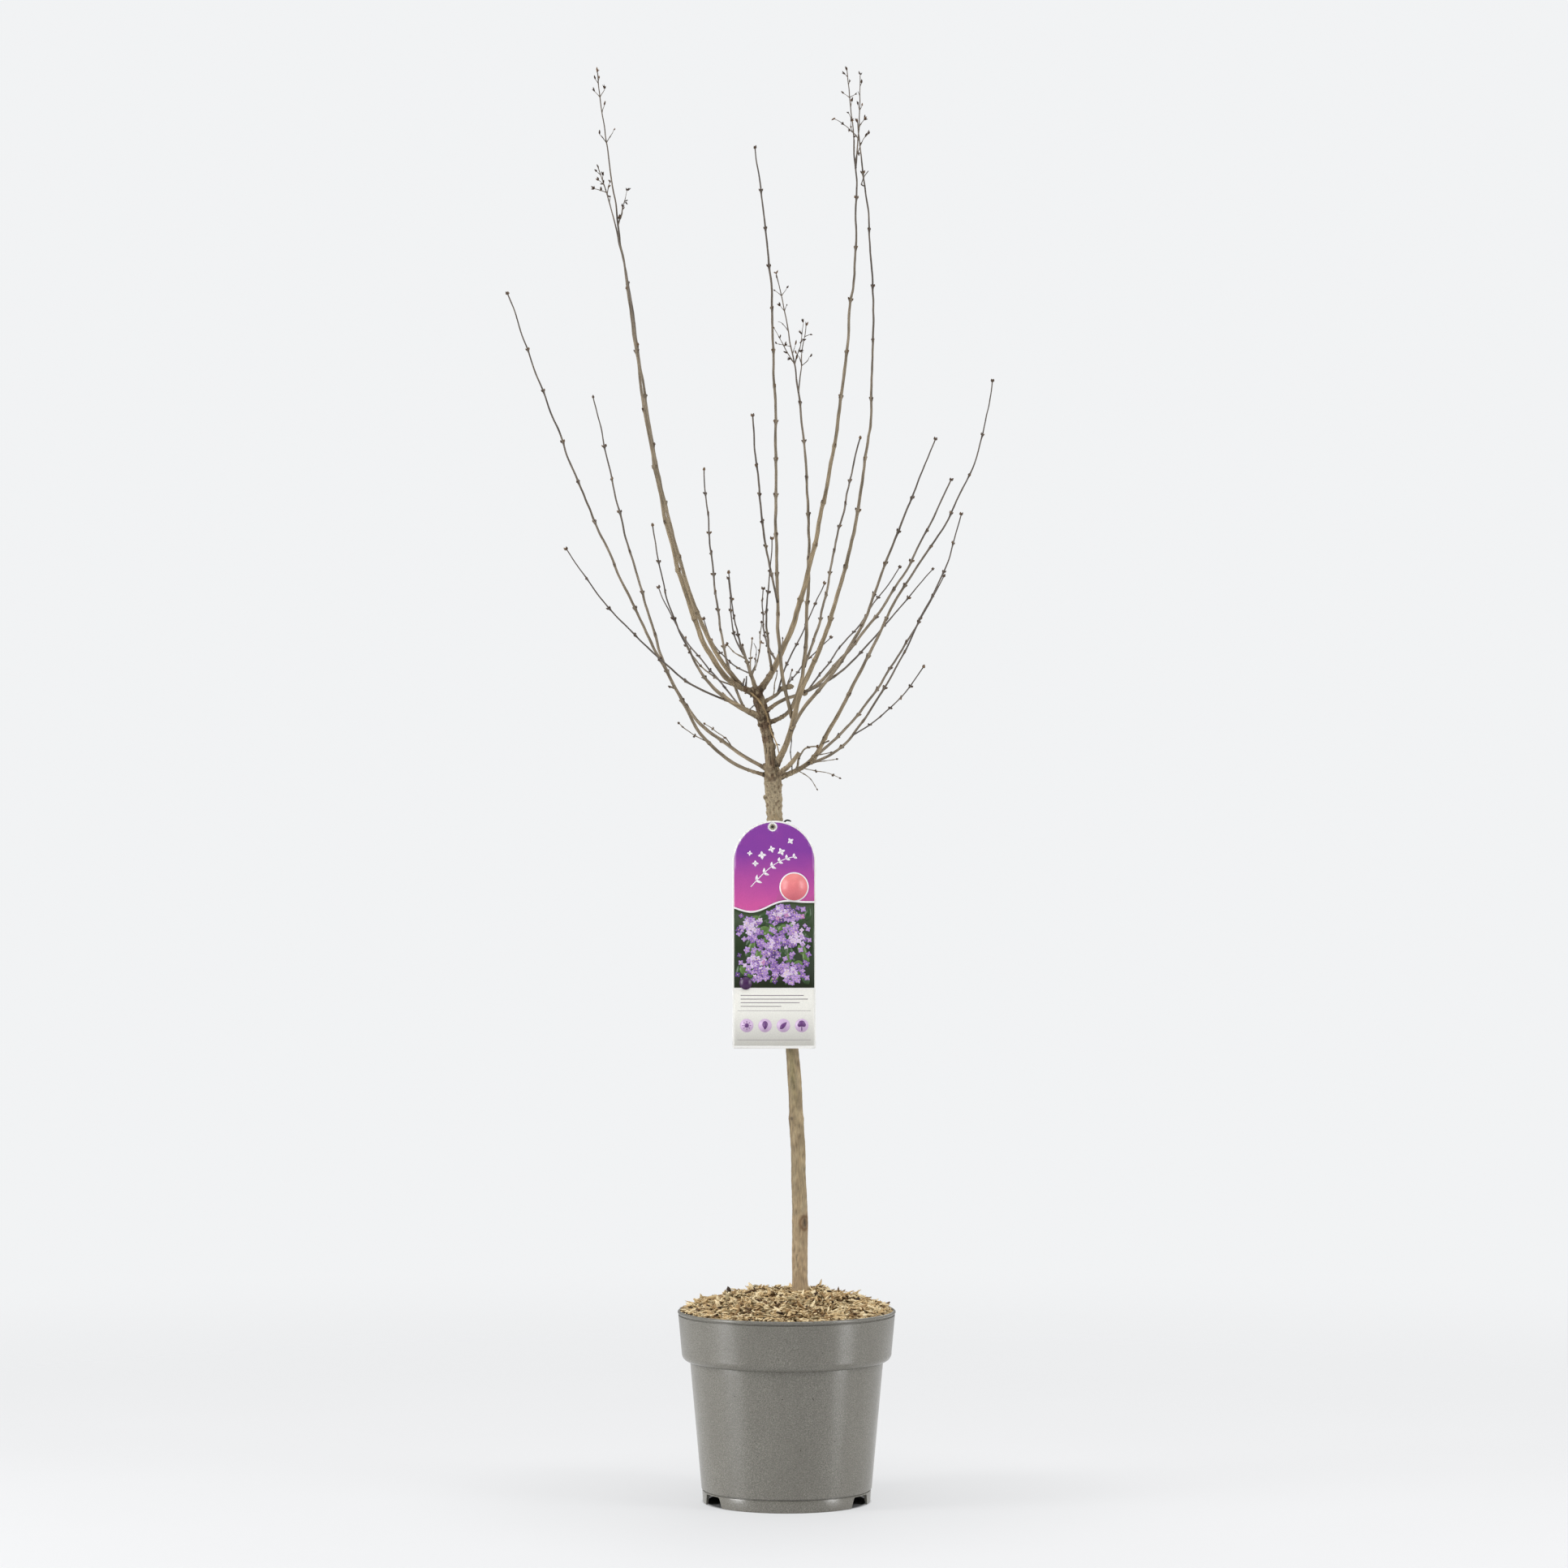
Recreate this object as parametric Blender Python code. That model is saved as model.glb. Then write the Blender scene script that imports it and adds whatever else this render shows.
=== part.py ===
"""Potted lilac shrub, leafless in winter, grown on one clear stem.

The origin is the middle of the pot's underside, +Z is up, and -Y faces the
front, where the hanging tag is.  Every solid is one piece of the real plant:
the pot, the bark-covered root ball, the stem, each bough and long shoot as one
tapering limb, the tag and its tie.

Limb sizes are front-elevation sizes in millimetres: x to the right of the
pot's axis and z above the pot's underside, as they show from EYE_DISTANCE in
front of the axis.  Each limb also has a depth, how far its tip leans back (+)
or forward (-), and its points are spread by that depth in `in_space`.
"""

import math

import bmesh
import bpy
import numpy as np
from mathutils import Matrix, Vector

MM = 0.001

# ---------------------------------------------------------------- dimensions
GAP = 0.3                 # clearance between touching pieces

EYE_DISTANCE = 4700.0     # where the front elevation is seen from
EYE_HEIGHT = 705.0
EYE_X = -2.6

# the pot: a turned plastic shell with a deep stepped collar and a low foot
POT_HEIGHT = 188.0
POT_WALL = 1.6
RIM_R = 106.9             # at the very top
COLLAR_FOOT_R = 103.2     # bottom of the straight part of the collar
COLLAR_FOOT_Z = 146.0
COLLAR_ROUND = 7.6        # rounding under the collar
SHOULDER_R = 94.9         # wall just under the collar
WALL_FOOT_R = 83.7
WALL_FOOT_Z = 13.4
FOOT_R = 83.0
FOOT_HEIGHT = 12.6
FOOT_WALL = 2.6
GROOVE = 0.5              # thin line where the wall meets the foot
FLOOR_TOP = 14.0
PAD_R = 30.0              # flat pad in the middle of the underside
POT_SIDES = 48
NOTCHES = (-151.5, -28.5, 90.0)     # azimuths of the drainage notches
NOTCH_HALF_TOP = 14.0
NOTCH_HALF_FLOOR = 17.5
NOTCH_TOP = 10.8
DRAIN_R = 6.0             # three drain holes in the floor
DRAIN_RING = 58.0

# the root ball and its mound of bark
MOUND = ((0.0, 205.0), (24.0, 205.0), (44.0, 201.5), (66.0, 197.0),
         (86.0, 191.5), (98.0, 186.5), (104.4, 182.5))
BALL_BOTTOM = FLOOR_TOP + GAP
BALL_SIDES = 36

# the stem: height, x, depth, radius
STEM = (
    (205.3, 13.0, 0.0, 8.6),
    (214.0, 12.9, 0.0, 7.8),
    (246.0, 13.1, 0.4, 7.5),
    (270.0, 12.9, 0.6, 7.8),      # knot
    (282.0, 12.8, 0.6, 7.4),
    (330.0, 11.6, 0.8, 7.0),
    (372.0, 10.0, 0.6, 7.2),      # node
    (384.0, 9.4, 0.4, 6.7),
    (446.0, 5.4, 0.0, 6.1),
    (520.0, 0.4, -0.5, 5.9),
    (600.0, -5.8, -0.4, 6.2),
    (655.0, -10.4, 0.0, 6.9),     # the graft begins to swell
    (682.0, -12.2, 0.2, 7.6),
    (700.0, -13.0, 0.3, 8.6),
    (712.0, -13.6, 0.4, 9.0),     # lower whorl
    (724.0, -15.0, 0.4, 6.4),
    (734.0, -16.4, 0.4, 5.5),
    (753.0, -19.4, 0.4, 5.3),
    (768.0, -22.3, 0.4, 6.4),     # joint of the left bough
    (778.0, -24.2, 0.4, 5.9),
    (788.0, -27.0, 0.4, 5.6),
    (795.0, -29.2, 0.4, 5.2),
    (799.0, -30.2, 0.4, 4.0),
    (801.4, -30.8, 0.4, 1.8),
)
STEM_SIDES = 12

# limbs: name, parent, foot (x, z), guide points (x, z) up to the tip, depth of
# the tip, thickness at foot and tip, how fast it thins, sides
LIMBS = (
    # the lower whorl, on the swelling above the graft
    ("bough_left_low", "trunk", (-14, 712),
     ((-53, 726), (-82, 752), (-109, 799), (-150, 879), (-213, 1022), (-274, 1187)),
     -60, 3.5, 1.2, 1.0, 8),
    ("bough_left_rear", "trunk", (-14, 718),
     ((-51, 738), (-87, 767), (-111, 803), (-140, 886), (-190, 1085)),
     150, 3.8, 1.2, 1.05, 8),
    ("bough_right_low", "trunk", (-13, 709),
     ((24, 728), (41, 756), (84, 839), (113, 896), (155, 959), (187, 1029), (202, 1101)),
     30, 5.0, 1.2, 1.7, 8),
    ("shoot_right_low_back", "bough_right_low", (27, 731),
     ((57, 758), (105, 823), (136, 876), (155, 915), (171, 970)),
     165, 2.9, 1.2, 1.0, 6),
    ("shoot_right_low_front", "bough_right_low", (20, 726),
     ((40, 732), (65, 753), (83, 778), (133, 869), (154, 909)),
     -100, 2.9, 1.2, 1.2, 6),
    ("shoot_right_low_thin", "shoot_right_low_front", (65, 753),
     ((91, 770), (135, 820)),
     -170, 1.5, 1.15, 1.0, 6),
    ("bough_right_upright", "trunk", (-12, 716),
     ((0, 745), (13, 793), (32, 837), (57, 917), (77, 1021), (85, 1180), (69, 1356)),
     -95, 6.0, 1.5, 1.9, 8),
    ("bough_right_front", "bough_right_upright", (4, 757),
     ((13, 774), (43, 811), (73, 860), (94, 914), (146, 1044)),
     -180, 3.8, 1.2, 0.95, 8),
    ("bough_centre_tall", "bough_right_upright", (2, 767),
     ((-3, 805), (-9, 885), (-11, 1050), (-19, 1234), (-31, 1331)),
     -30, 3.7, 1.2, 0.8, 8),
    ("shoot_centre_side", "bough_centre_tall", (-9, 883),
     ((-17, 922), (-28, 998), (-33, 1067)),
     -130, 2.3, 1.5, 0.9, 6),
    ("stub_cut", "trunk", (-12, 712),
     ((0, 721), (12.5, 736)),
     -20, 5.0, 4.0, 1.0, 8),

    # the joint half way up the head
    ("bough_left_mid", "trunk", (-23, 768),
     ((-46, 781), (-70, 797), (-95, 835), (-114, 879), (-132, 959)),
     -190, 6.6, 1.3, 3.2, 8),
    ("shoot_left_front", "bough_left_mid", (-53, 784),
     ((-86, 799), (-138, 840), (-179, 883), (-217, 936)),
     -120, 2.1, 1.1, 0.9, 6),
    ("shoot_left_thin", "bough_left_mid", (-46, 781),
     ((-64, 804), (-98, 845), (-126, 898)),
     90, 1.9, 1.1, 0.9, 6),
    ("shoot_left_back", "bough_left_mid", (-41, 778.5),
     ((-49, 796), (-58, 824), (-67, 872), (-77, 961), (-81, 1014)),
     195, 2.8, 1.3, 1.1, 6),
    ("bough_middle_tall", "trunk", (-20, 764),
     ((1, 775), (13, 802), (20, 869), (20, 999), (8, 1115), (-10, 1207)),
     70, 4.1, 1.2, 1.0, 8),
    ("shoot_middle_fork", "bough_middle_tall", (12, 1090),
     ((15, 1124), (18, 1156)),
     100, 1.5, 1.1, 1.0, 6),
    ("shoot_middle_side", "bough_middle_tall", (17, 820),
     ((31, 861), (46, 930), (58, 985), (72, 1045)),
     195, 2.7, 1.5, 0.8, 6),
    ("bough_right_mid", "trunk", (-24, 775),
     ((-3, 788), (18, 795), (57, 832), (107, 899), (162, 1004)),
     150, 3.8, 1.6, 1.1, 8),
    ("shoot_right_mid_thin", "bough_right_mid", (20, 797),
     ((35, 816), (69, 859), (89, 887), (111, 918)),
     210, 1.9, 1.1, 1.0, 6),
    ("shoot_right_mid_side", "bough_right_mid", (14, 794),
     ((43, 808), (75, 837), (106, 873), (143, 916)),
     65, 2.4, 1.1, 1.1, 6),
    ("bough_stub_right", "trunk", (-26, 783),
     ((-10, 793), (-2, 800), (6, 800)),
     30, 3.6, 3.0, 1.0, 8),
    ("shoot_stub_front", "bough_stub_right", (-9, 794),
     ((-3, 815), (20, 863), (37, 902)),
     60, 1.8, 1.1, 1.1, 6),
    ("shoot_stub_back", "bough_stub_right", (-1, 800),
     ((12, 817), (43, 849)),
     120, 1.5, 1.1, 1.0, 6),

    # the fork at the stem's top
    ("bough_left_tall", "trunk", (-29, 795),
     ((-54, 805), (-77, 836), (-88, 861), (-106.5, 917), (-129.5, 1015), (-152, 1160),
      (-187, 1406)),
     -75, 5.6, 1.3, 1.4, 8),
    ("bough_left_tall_twin", "bough_left_tall", (-42, 801),
     ((-71.5, 837), (-83, 861), (-103, 917), (-127.3, 1014), (-150.5, 1160), (-166, 1246),
      (-185, 1311)),
     55, 4.6, 1.3, 1.1, 8),
    ("bough_centre_front", "trunk", (-29, 796),
     ((-36, 815), (-46, 843), (-55, 891), (-57, 913)),
     -160, 4.6, 1.1, 2.6, 8),
    ("shoot_centre_front_twin", "bough_centre_front", (-43, 832),
     ((-50, 847), (-56, 891), (-58, 907)),
     -95, 1.7, 1.1, 1.2, 6),
    ("shoot_left_tall_side", "bough_centre_front", (-37, 813),
     ((-49, 820), (-67, 837), (-75, 849), (-82, 867)),
     60, 1.5, 1.1, 1.0, 6),
    ("bough_right_tall", "trunk", (-29, 795),
     ((-20, 806), (4, 856), (29, 948), (48, 1046), (60, 1146), (69, 1260), (59, 1407)),
     85, 6.0, 1.3, 1.4, 8),
    ("shoot_right_tall_tip", "bough_right_tall", (69, 1310),
     ((71, 1350), (72, 1402)),
     120, 1.8, 1.1, 1.0, 6),
    ("shoot_centre_back", "bough_right_tall", (-14, 826),
     ((-18, 840), (-24, 872), (-23, 897)),
     115, 2.3, 1.1, 1.2, 6),
    ("shoot_centre_near", "bough_right_tall", (-18, 818),
     ((-19, 848), (-18, 903), (-15, 946)),
     -105, 2.9, 1.1, 1.7, 6),
)

# the hanging tag: a plain card with an arched top, and its tie
TAG_WIDTH = 82.0
TAG_X = -12.2
TAG_BOTTOM = 445.4
TAG_ARCH_Z = 628.0
TAG_FRONT = -10.0
TAG_THICK = 0.8
EYELET = (-13.8, 663.0)
EYELET_R = 2.6
TIE_Z = (660.6, 665.4)
TIE_WIDTH = 6.4
TIE_THICK = 1.0

COLOURS = {
    "pot": ((0.30, 0.29, 0.27, 1.0), 0.42),
    "root_ball": ((0.33, 0.22, 0.12, 1.0), 0.95),
    "wood": ((0.24, 0.18, 0.11, 1.0), 0.85),
    "thin_wood": ((0.13, 0.09, 0.06, 1.0), 0.80),
    "tag": ((0.80, 0.77, 0.70, 1.0), 0.45),
    "tie": ((0.03, 0.03, 0.03, 1.0), 0.50),
}


# ------------------------------------------------------------------- helpers
def material(kind):
    mat = bpy.data.materials.get(kind)
    if mat is None:
        colour, rough = COLOURS[kind]
        mat = bpy.data.materials.new(kind)
        mat.use_nodes = True
        shader = mat.node_tree.nodes["Principled BSDF"]
        shader.inputs["Base Color"].default_value = colour
        shader.inputs["Roughness"].default_value = rough
        shader.inputs["Metallic"].default_value = 0.0
    return mat


def add_object(name, bm, kind, smooth=True):
    """Turn millimetre geometry into a named object in metres."""
    bmesh.ops.recalc_face_normals(bm, faces=bm.faces[:])
    if bm.calc_volume(signed=True) < 0.0:
        bmesh.ops.reverse_faces(bm, faces=bm.faces[:])
    bm.transform(Matrix.Scale(MM, 4))
    mesh = bpy.data.meshes.new(name)
    bm.to_mesh(mesh)
    bm.free()
    if smooth:
        mesh.shade_smooth()
        mesh.set_sharp_from_angle(angle=math.radians(40))
    mesh.materials.append(material(kind))
    obj = bpy.data.objects.new(name, mesh)
    bpy.context.scene.collection.objects.link(obj)
    return obj


def lathe(profile, sides):
    """Turn an (r, z) profile that starts and ends on the axis."""
    bm = bmesh.new()
    rings = []
    for r, z in profile:
        if r < 1e-6:
            rings.append([bm.verts.new((0.0, 0.0, z))])
        else:
            rings.append([bm.verts.new((r * math.cos(2 * math.pi * k / sides),
                                        r * math.sin(2 * math.pi * k / sides), z))
                          for k in range(sides)])
    for low, high in zip(rings, rings[1:]):
        for k in range(sides):
            j = (k + 1) % sides
            quad = [low[k % len(low)], low[j % len(low)],
                    high[j % len(high)], high[k % len(high)]]
            corners = []
            for v in quad:
                if v not in corners:
                    corners.append(v)
            bm.faces.new(corners)
    return bm


def box(bm, low, high):
    corners = [bm.verts.new((x, y, z)) for x in (low[0], high[0])
               for y in (low[1], high[1]) for z in (low[2], high[2])]
    for f in ((0, 1, 3, 2), (4, 6, 7, 5), (0, 4, 5, 1), (2, 3, 7, 6),
              (0, 2, 6, 4), (1, 5, 7, 3)):
        bm.faces.new([corners[i] for i in f])


def cutter(name, bm):
    obj = add_object(name, bm, "tie", smooth=False)
    obj.hide_render = True
    obj.display_type = "WIRE"
    return obj


def cut(target, tool, operation="DIFFERENCE"):
    mod = target.modifiers.new(operation.lower(), "BOOLEAN")
    mod.operation = operation
    mod.solver = "EXACT"
    mod.object = tool


def in_space(x, z, depth):
    """The point that shows at (x, z) in front elevation, set back by depth."""
    k = 1.0 + depth / EYE_DISTANCE
    return Vector((EYE_X + (x - EYE_X) * k, depth,
                   EYE_HEIGHT + (z - EYE_HEIGHT) * k))


def in_elevation(p):
    k = 1.0 + p.y / EYE_DISTANCE
    return (EYE_X + (p.x - EYE_X) / k, EYE_HEIGHT + (p.z - EYE_HEIGHT) / k)


def spline(knots, values):
    """Smooth curve through `values` at `knots`, which turns no further than
    the chords on each side of a knot do."""
    knots = np.asarray(knots, float)
    values = np.asarray(values, float)
    h = np.diff(knots)
    chord = np.diff(values, axis=0) / h[:, None]
    slope = np.empty_like(values)
    for i in range(1, len(knots) - 1):
        slope[i] = (chord[i - 1] * h[i] + chord[i] * h[i - 1]) / (h[i - 1] + h[i])
    slope[0] = 1.5 * chord[0] - 0.5 * slope[1]
    slope[-1] = 1.5 * chord[-1] - 0.5 * slope[-2]

    def at(t):
        i = int(min(max(np.searchsorted(knots, t) - 1, 0), len(h) - 1))
        u = (t - knots[i]) / h[i]
        return ((1 + 2 * u) * (1 - u) ** 2 * values[i] + u * (1 - u) ** 2 * h[i] * slope[i]
                + u * u * (3 - 2 * u) * values[i + 1] - u * u * (1 - u) * h[i] * slope[i + 1])
    return at


class Limb:
    """A tapering round limb: a path and a radius, both over t from 0 to 1."""

    FINE = 240

    def __init__(self, path, radius):
        self.path, self.radius = path, radius
        self.points = [path(i / self.FINE) for i in range(self.FINE + 1)]
        self.radii = [radius(i / self.FINE) for i in range(self.FINE + 1)]
        self.length = sum((b - a).length for a, b in zip(self.points, self.points[1:]))
        self.xyz = np.array([tuple(p) for p in self.points])
        self.rr = np.array(self.radii)
        self.frames = self.turn_frames()

    def turn_frames(self):
        """Side and top directions carried along the path without twist."""
        frames = []
        side = None
        for i in range(self.FINE + 1):
            a = self.points[max(i - 1, 0)]
            b = self.points[min(i + 1, self.FINE)]
            along = (b - a).normalized()
            if side is None:
                side = along.cross(Vector((0.0, 1.0, 0.0)))
                if side.length < 0.2:
                    side = along.cross(Vector((1.0, 0.0, 0.0)))
            side = (side - along * side.dot(along)).normalized()
            frames.append((side.copy(), along.cross(side)))
        return frames

    def clearance(self, p):
        """How far p lies outside this limb's round surface."""
        q = np.array(tuple(p))
        a, b = self.xyz[:-1], self.xyz[1:]
        ab = b - a
        u = np.clip(((q - a) * ab).sum(1) / (ab * ab).sum(1), 0.0, 1.0)
        d = np.linalg.norm(q - (a + ab * u[:, None]), axis=1)
        r = self.rr[:-1] * (1 - u) + self.rr[1:] * u
        return float((d - r).min())

    def nearest(self, x, z):
        """The place on the limb that shows nearest (x, z) from the front."""
        best = min(range(self.FINE + 1), key=lambda i: (
            (in_elevation(self.points[i])[0] - x) ** 2
            + (in_elevation(self.points[i])[1] - z) ** 2))
        return self.points[best]

    def skin(self, i, angle):
        side, top = self.frames[i]
        return self.points[i] + self.radii[i] * (
            math.cos(angle) * side + math.sin(angle) * top)


def stem_limb():
    heights = [s[0] for s in STEM]
    knots = [(z - heights[0]) / (heights[-1] - heights[0]) for z in heights]
    centre = spline(knots, [(s[1], s[2], s[0]) for s in STEM])
    radii = [s[3] for s in STEM]

    def radius(t):
        return float(np.interp(t, knots, radii))
    return Limb(lambda t: Vector(centre(t)), radius)


def side_limb(parent, foot, guides, depth, thick, thin, power):
    start = parent.nearest(*foot)
    flat = [in_elevation(start)] + list(guides)
    runs = [0.0]
    for (ax, az), (bx, bz) in zip(flat, flat[1:]):
        runs.append(runs[-1] + math.hypot(bx - ax, bz - az))
    knots = [r / runs[-1] for r in runs]
    across = spline(knots, flat)
    start_depth = start.y

    def path(t):
        x, z = across(t)
        back = start_depth + (depth - start_depth) * (1.0 - (1.0 - t) ** 1.6)
        return in_space(float(x), float(z), back)

    def radius(t):
        return (thin + (thick - thin) * (1.0 - t) ** power) / 2.0
    return Limb(path, radius)


def add_stem(limb):
    """The stem has a ring at each named height and between wide ones."""
    bm = bmesh.new()
    heights = [s[0] for s in STEM]
    stations = []
    for low, high in zip(heights, heights[1:]):
        steps = max(1, round((high - low) / 30.0))
        stations += [low + (high - low) * k / steps for k in range(steps)]
    stations.append(heights[-1])
    rings = []
    for z in stations:
        t = (z - heights[0]) / (heights[-1] - heights[0])
        c, r = limb.path(t), limb.radius(t)
        rings.append([bm.verts.new((c.x + r * math.cos(2 * math.pi * k / STEM_SIDES),
                                    c.y + r * math.sin(2 * math.pi * k / STEM_SIDES), c.z))
                      for k in range(STEM_SIDES)])
    for low, high in zip(rings, rings[1:]):
        for k in range(STEM_SIDES):
            j = (k + 1) % STEM_SIDES
            bm.faces.new((low[k], low[j], high[j], high[k]))
    bm.faces.new(rings[0])
    bm.faces.new(rings[-1])
    return add_object("trunk", bm, "wood")


def add_limb(name, limb, parent, sides, kind):
    """A tube whose foot is hollowed to sit on its parent, just clear of it."""
    fine = limb.FINE
    clear = GAP + 0.3
    starts = []
    for k in range(sides):
        angle = 2 * math.pi * k / sides
        i = 0
        while parent.clearance(limb.skin(i, angle)) < clear:
            i += 1
        starts.append(i)
    middle = 0
    while parent.clearance(limb.points[middle]) < clear + 0.1:
        middle += 1
    first = max(max(starts), middle)
    bend = max(4, round(limb.length / 30.0))
    spread = [first + 2 + (fine - first - 2) * ((k + 0.35) / (bend + 0.35)) ** 1.25
              for k in range(bend + 1)]
    bm = bmesh.new()
    rings = [[bm.verts.new(limb.skin(starts[k], 2 * math.pi * k / sides))
              for k in range(sides)]]
    for s in spread:
        i = min(round(s), fine)
        rings.append([bm.verts.new(limb.skin(i, 2 * math.pi * k / sides))
                      for k in range(sides)])
    for low, high in zip(rings, rings[1:]):
        for k in range(sides):
            j = (k + 1) % sides
            bm.faces.new((low[k], low[j], high[j], high[k]))
    hub = bm.verts.new(limb.points[middle])
    for k in range(sides):
        bm.faces.new((hub, rings[0][(k + 1) % sides], rings[0][k]))
    bm.faces.new(rings[-1])
    return add_object(name, bm, kind)


# --------------------------------------------------------------------- pieces
def wall_profile():
    """Outside of the pot from the groove above the foot up to the rim."""
    points = [(WALL_FOOT_R, WALL_FOOT_Z), (SHOULDER_R, COLLAR_FOOT_Z - COLLAR_ROUND - 0.6)]
    for k in range(4):
        a = math.radians(90 * k / 3)
        points.append((COLLAR_FOOT_R - COLLAR_ROUND + COLLAR_ROUND * math.sin(a),
                       COLLAR_FOOT_Z - COLLAR_ROUND * math.cos(a)))
    points.append((RIM_R, POT_HEIGHT - 0.7))
    points.append((RIM_R - 0.5, POT_HEIGHT))
    return points


def inner_profile():
    """Inside of the pot from the rim down to the floor."""
    w = POT_WALL
    return [(RIM_R - w, POT_HEIGHT - 0.3),
            (COLLAR_FOOT_R - w, COLLAR_FOOT_Z + 1.0),
            (COLLAR_FOOT_R - w - 2.6, COLLAR_FOOT_Z - COLLAR_ROUND + 3.4),
            (SHOULDER_R - w, COLLAR_FOOT_Z - COLLAR_ROUND + 0.9),
            (WALL_FOOT_R - w, FLOOR_TOP)]


def add_pot():
    outside = wall_profile()
    under = [(0.0, 0.0), (PAD_R, 0.0), (PAD_R + 1.2, FOOT_HEIGHT - 0.6),
             (FOOT_R - FOOT_WALL - 1.0, FOOT_HEIGHT - 0.6),
             (FOOT_R - FOOT_WALL, 0.0), (FOOT_R - 1.2, 0.0),
             (FOOT_R - 0.6, 0.5),
             (FOOT_R, FOOT_HEIGHT - GROOVE), (FOOT_R - GROOVE, FOOT_HEIGHT)]
    profile = under + outside + inner_profile() + [(0.0, FLOOR_TOP)]
    pot = add_object("pot", lathe(profile, POT_SIDES), "pot")

    for n, azimuth in enumerate(NOTCHES):
        bm = bmesh.new()
        half_low = FOOT_R * math.sin(math.radians(NOTCH_HALF_FLOOR / 1.5))
        half_top = FOOT_R * math.sin(math.radians(NOTCH_HALF_TOP / 1.5))
        outline = ((-half_low, -3.0), (half_low, -3.0),
                   (half_top, NOTCH_TOP), (-half_top, NOTCH_TOP))
        near = [bm.verts.new((FOOT_R - 8.0, s, z)) for s, z in outline]
        far = [bm.verts.new((FOOT_R + 8.0, s, z)) for s, z in outline]
        bm.faces.new(near)
        bm.faces.new(far)
        for k in range(4):
            j = (k + 1) % 4
            bm.faces.new((near[k], near[j], far[j], far[k]))
        bm.transform(Matrix.Rotation(math.radians(azimuth), 4, "Z"))
        cut(pot, cutter("notch_cutter_%d" % n, bm))

        bm = bmesh.new()
        bmesh.ops.create_cone(bm, cap_ends=True, segments=12, radius1=DRAIN_R,
                              radius2=DRAIN_R, depth=12.0)
        turn = Matrix.Rotation(math.radians(azimuth), 4, "Z")
        bm.transform(turn @ Matrix.Translation((DRAIN_RING, 0.0, FLOOR_TOP)))
        cut(pot, cutter("drain_cutter_%d" % n, bm))
    return pot


def add_root_ball():
    inside = list(reversed(inner_profile()))[:-1]
    profile = [(0.0, BALL_BOTTOM)]
    profile += [(r - GAP - 0.1, max(z, BALL_BOTTOM)) for r, z in inside]
    profile += list(reversed(MOUND))
    return add_object("root_ball", lathe(profile, BALL_SIDES), "root_ball")


def add_tag():
    bm = bmesh.new()
    half = TAG_WIDTH / 2.0
    outline = [(-half, TAG_BOTTOM + 1.5), (-half + 1.5, TAG_BOTTOM),
               (half - 1.5, TAG_BOTTOM), (half, TAG_BOTTOM + 1.5)]
    for k in range(17):
        a = math.pi * k / 16
        outline.append((half * math.cos(a), TAG_ARCH_Z + half * math.sin(a)))
    front = [bm.verts.new((TAG_X + x, TAG_FRONT, z)) for x, z in outline]
    back = [bm.verts.new((TAG_X + x, TAG_FRONT + TAG_THICK, z)) for x, z in outline]
    bm.faces.new(front)
    bm.faces.new(back)
    for k in range(len(outline)):
        j = (k + 1) % len(outline)
        bm.faces.new((front[k], front[j], back[j], back[k]))
    tag = add_object("tag", bm, "tag", smooth=False)

    bm = bmesh.new()
    bmesh.ops.create_cone(bm, cap_ends=True, segments=16, radius1=EYELET_R,
                          radius2=EYELET_R, depth=8.0)
    bm.transform(Matrix.Translation((EYELET[0], TAG_FRONT, EYELET[1]))
                 @ Matrix.Rotation(math.radians(90), 4, "X"))
    cut(tag, cutter("eyelet_cutter", bm))
    return tag


def add_tie(stem):
    """A band round the stem, behind the tag's top, with a pin through the
    eyelet and a short cross-bar in front that holds the tag."""
    low, high = TIE_Z
    t = (0.5 * (low + high) - STEM[0][0]) / (STEM[-1][0] - STEM[0][0])
    centre, r_stem = stem.path(t), stem.radius(t)
    inner = r_stem + 0.7
    outer = inner + TIE_THICK
    bm = bmesh.new()
    sides = 24
    rings = []
    for r, z in ((outer, low), (outer, high), (inner, high), (inner, low)):
        rings.append([bm.verts.new((centre.x + r * math.cos(2 * math.pi * k / sides),
                                    centre.y + r * math.sin(2 * math.pi * k / sides), z))
                      for k in range(sides)])
    for a in range(4):
        low_ring, high_ring = rings[a], rings[(a + 1) % 4]
        for k in range(sides):
            j = (k + 1) % sides
            bm.faces.new((low_ring[k], low_ring[j], high_ring[j], high_ring[k]))
    band = add_object("tie", bm, "tie")

    x, z = EYELET
    half = TIE_WIDTH / 2.0
    face = TAG_FRONT - 0.4
    for n, (a, b) in enumerate((
            ((x - 1.5, face - 0.6, z - 1.4), (x + 1.5, centre.y - inner + 0.4, z + 1.4)),
            ((x - half, face - 1.0, z - 1.2), (x + half, face - 0.1, z + 1.2)))):
        bm = bmesh.new()
        box(bm, a, b)
        cut(band, cutter("tie_arm_%d" % n, bm), "UNION")
    return band


def build():
    for obj in list(bpy.data.objects):
        bpy.data.objects.remove(obj, do_unlink=True)
    add_pot()
    add_root_ball()
    limbs = {"trunk": stem_limb()}
    add_stem(limbs["trunk"])
    for name, on, foot, guides, depth, thick, thin, power, sides in LIMBS:
        parent = limbs[on]
        limb = side_limb(parent, foot, guides, depth, thick, thin, power)
        limbs[name] = limb
        add_limb(name, limb, parent, sides, "wood" if thick > 2.5 else "thin_wood")
    add_tag()
    add_tie(limbs["trunk"])
    return limbs


LIMB_SHAPES = build()
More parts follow.
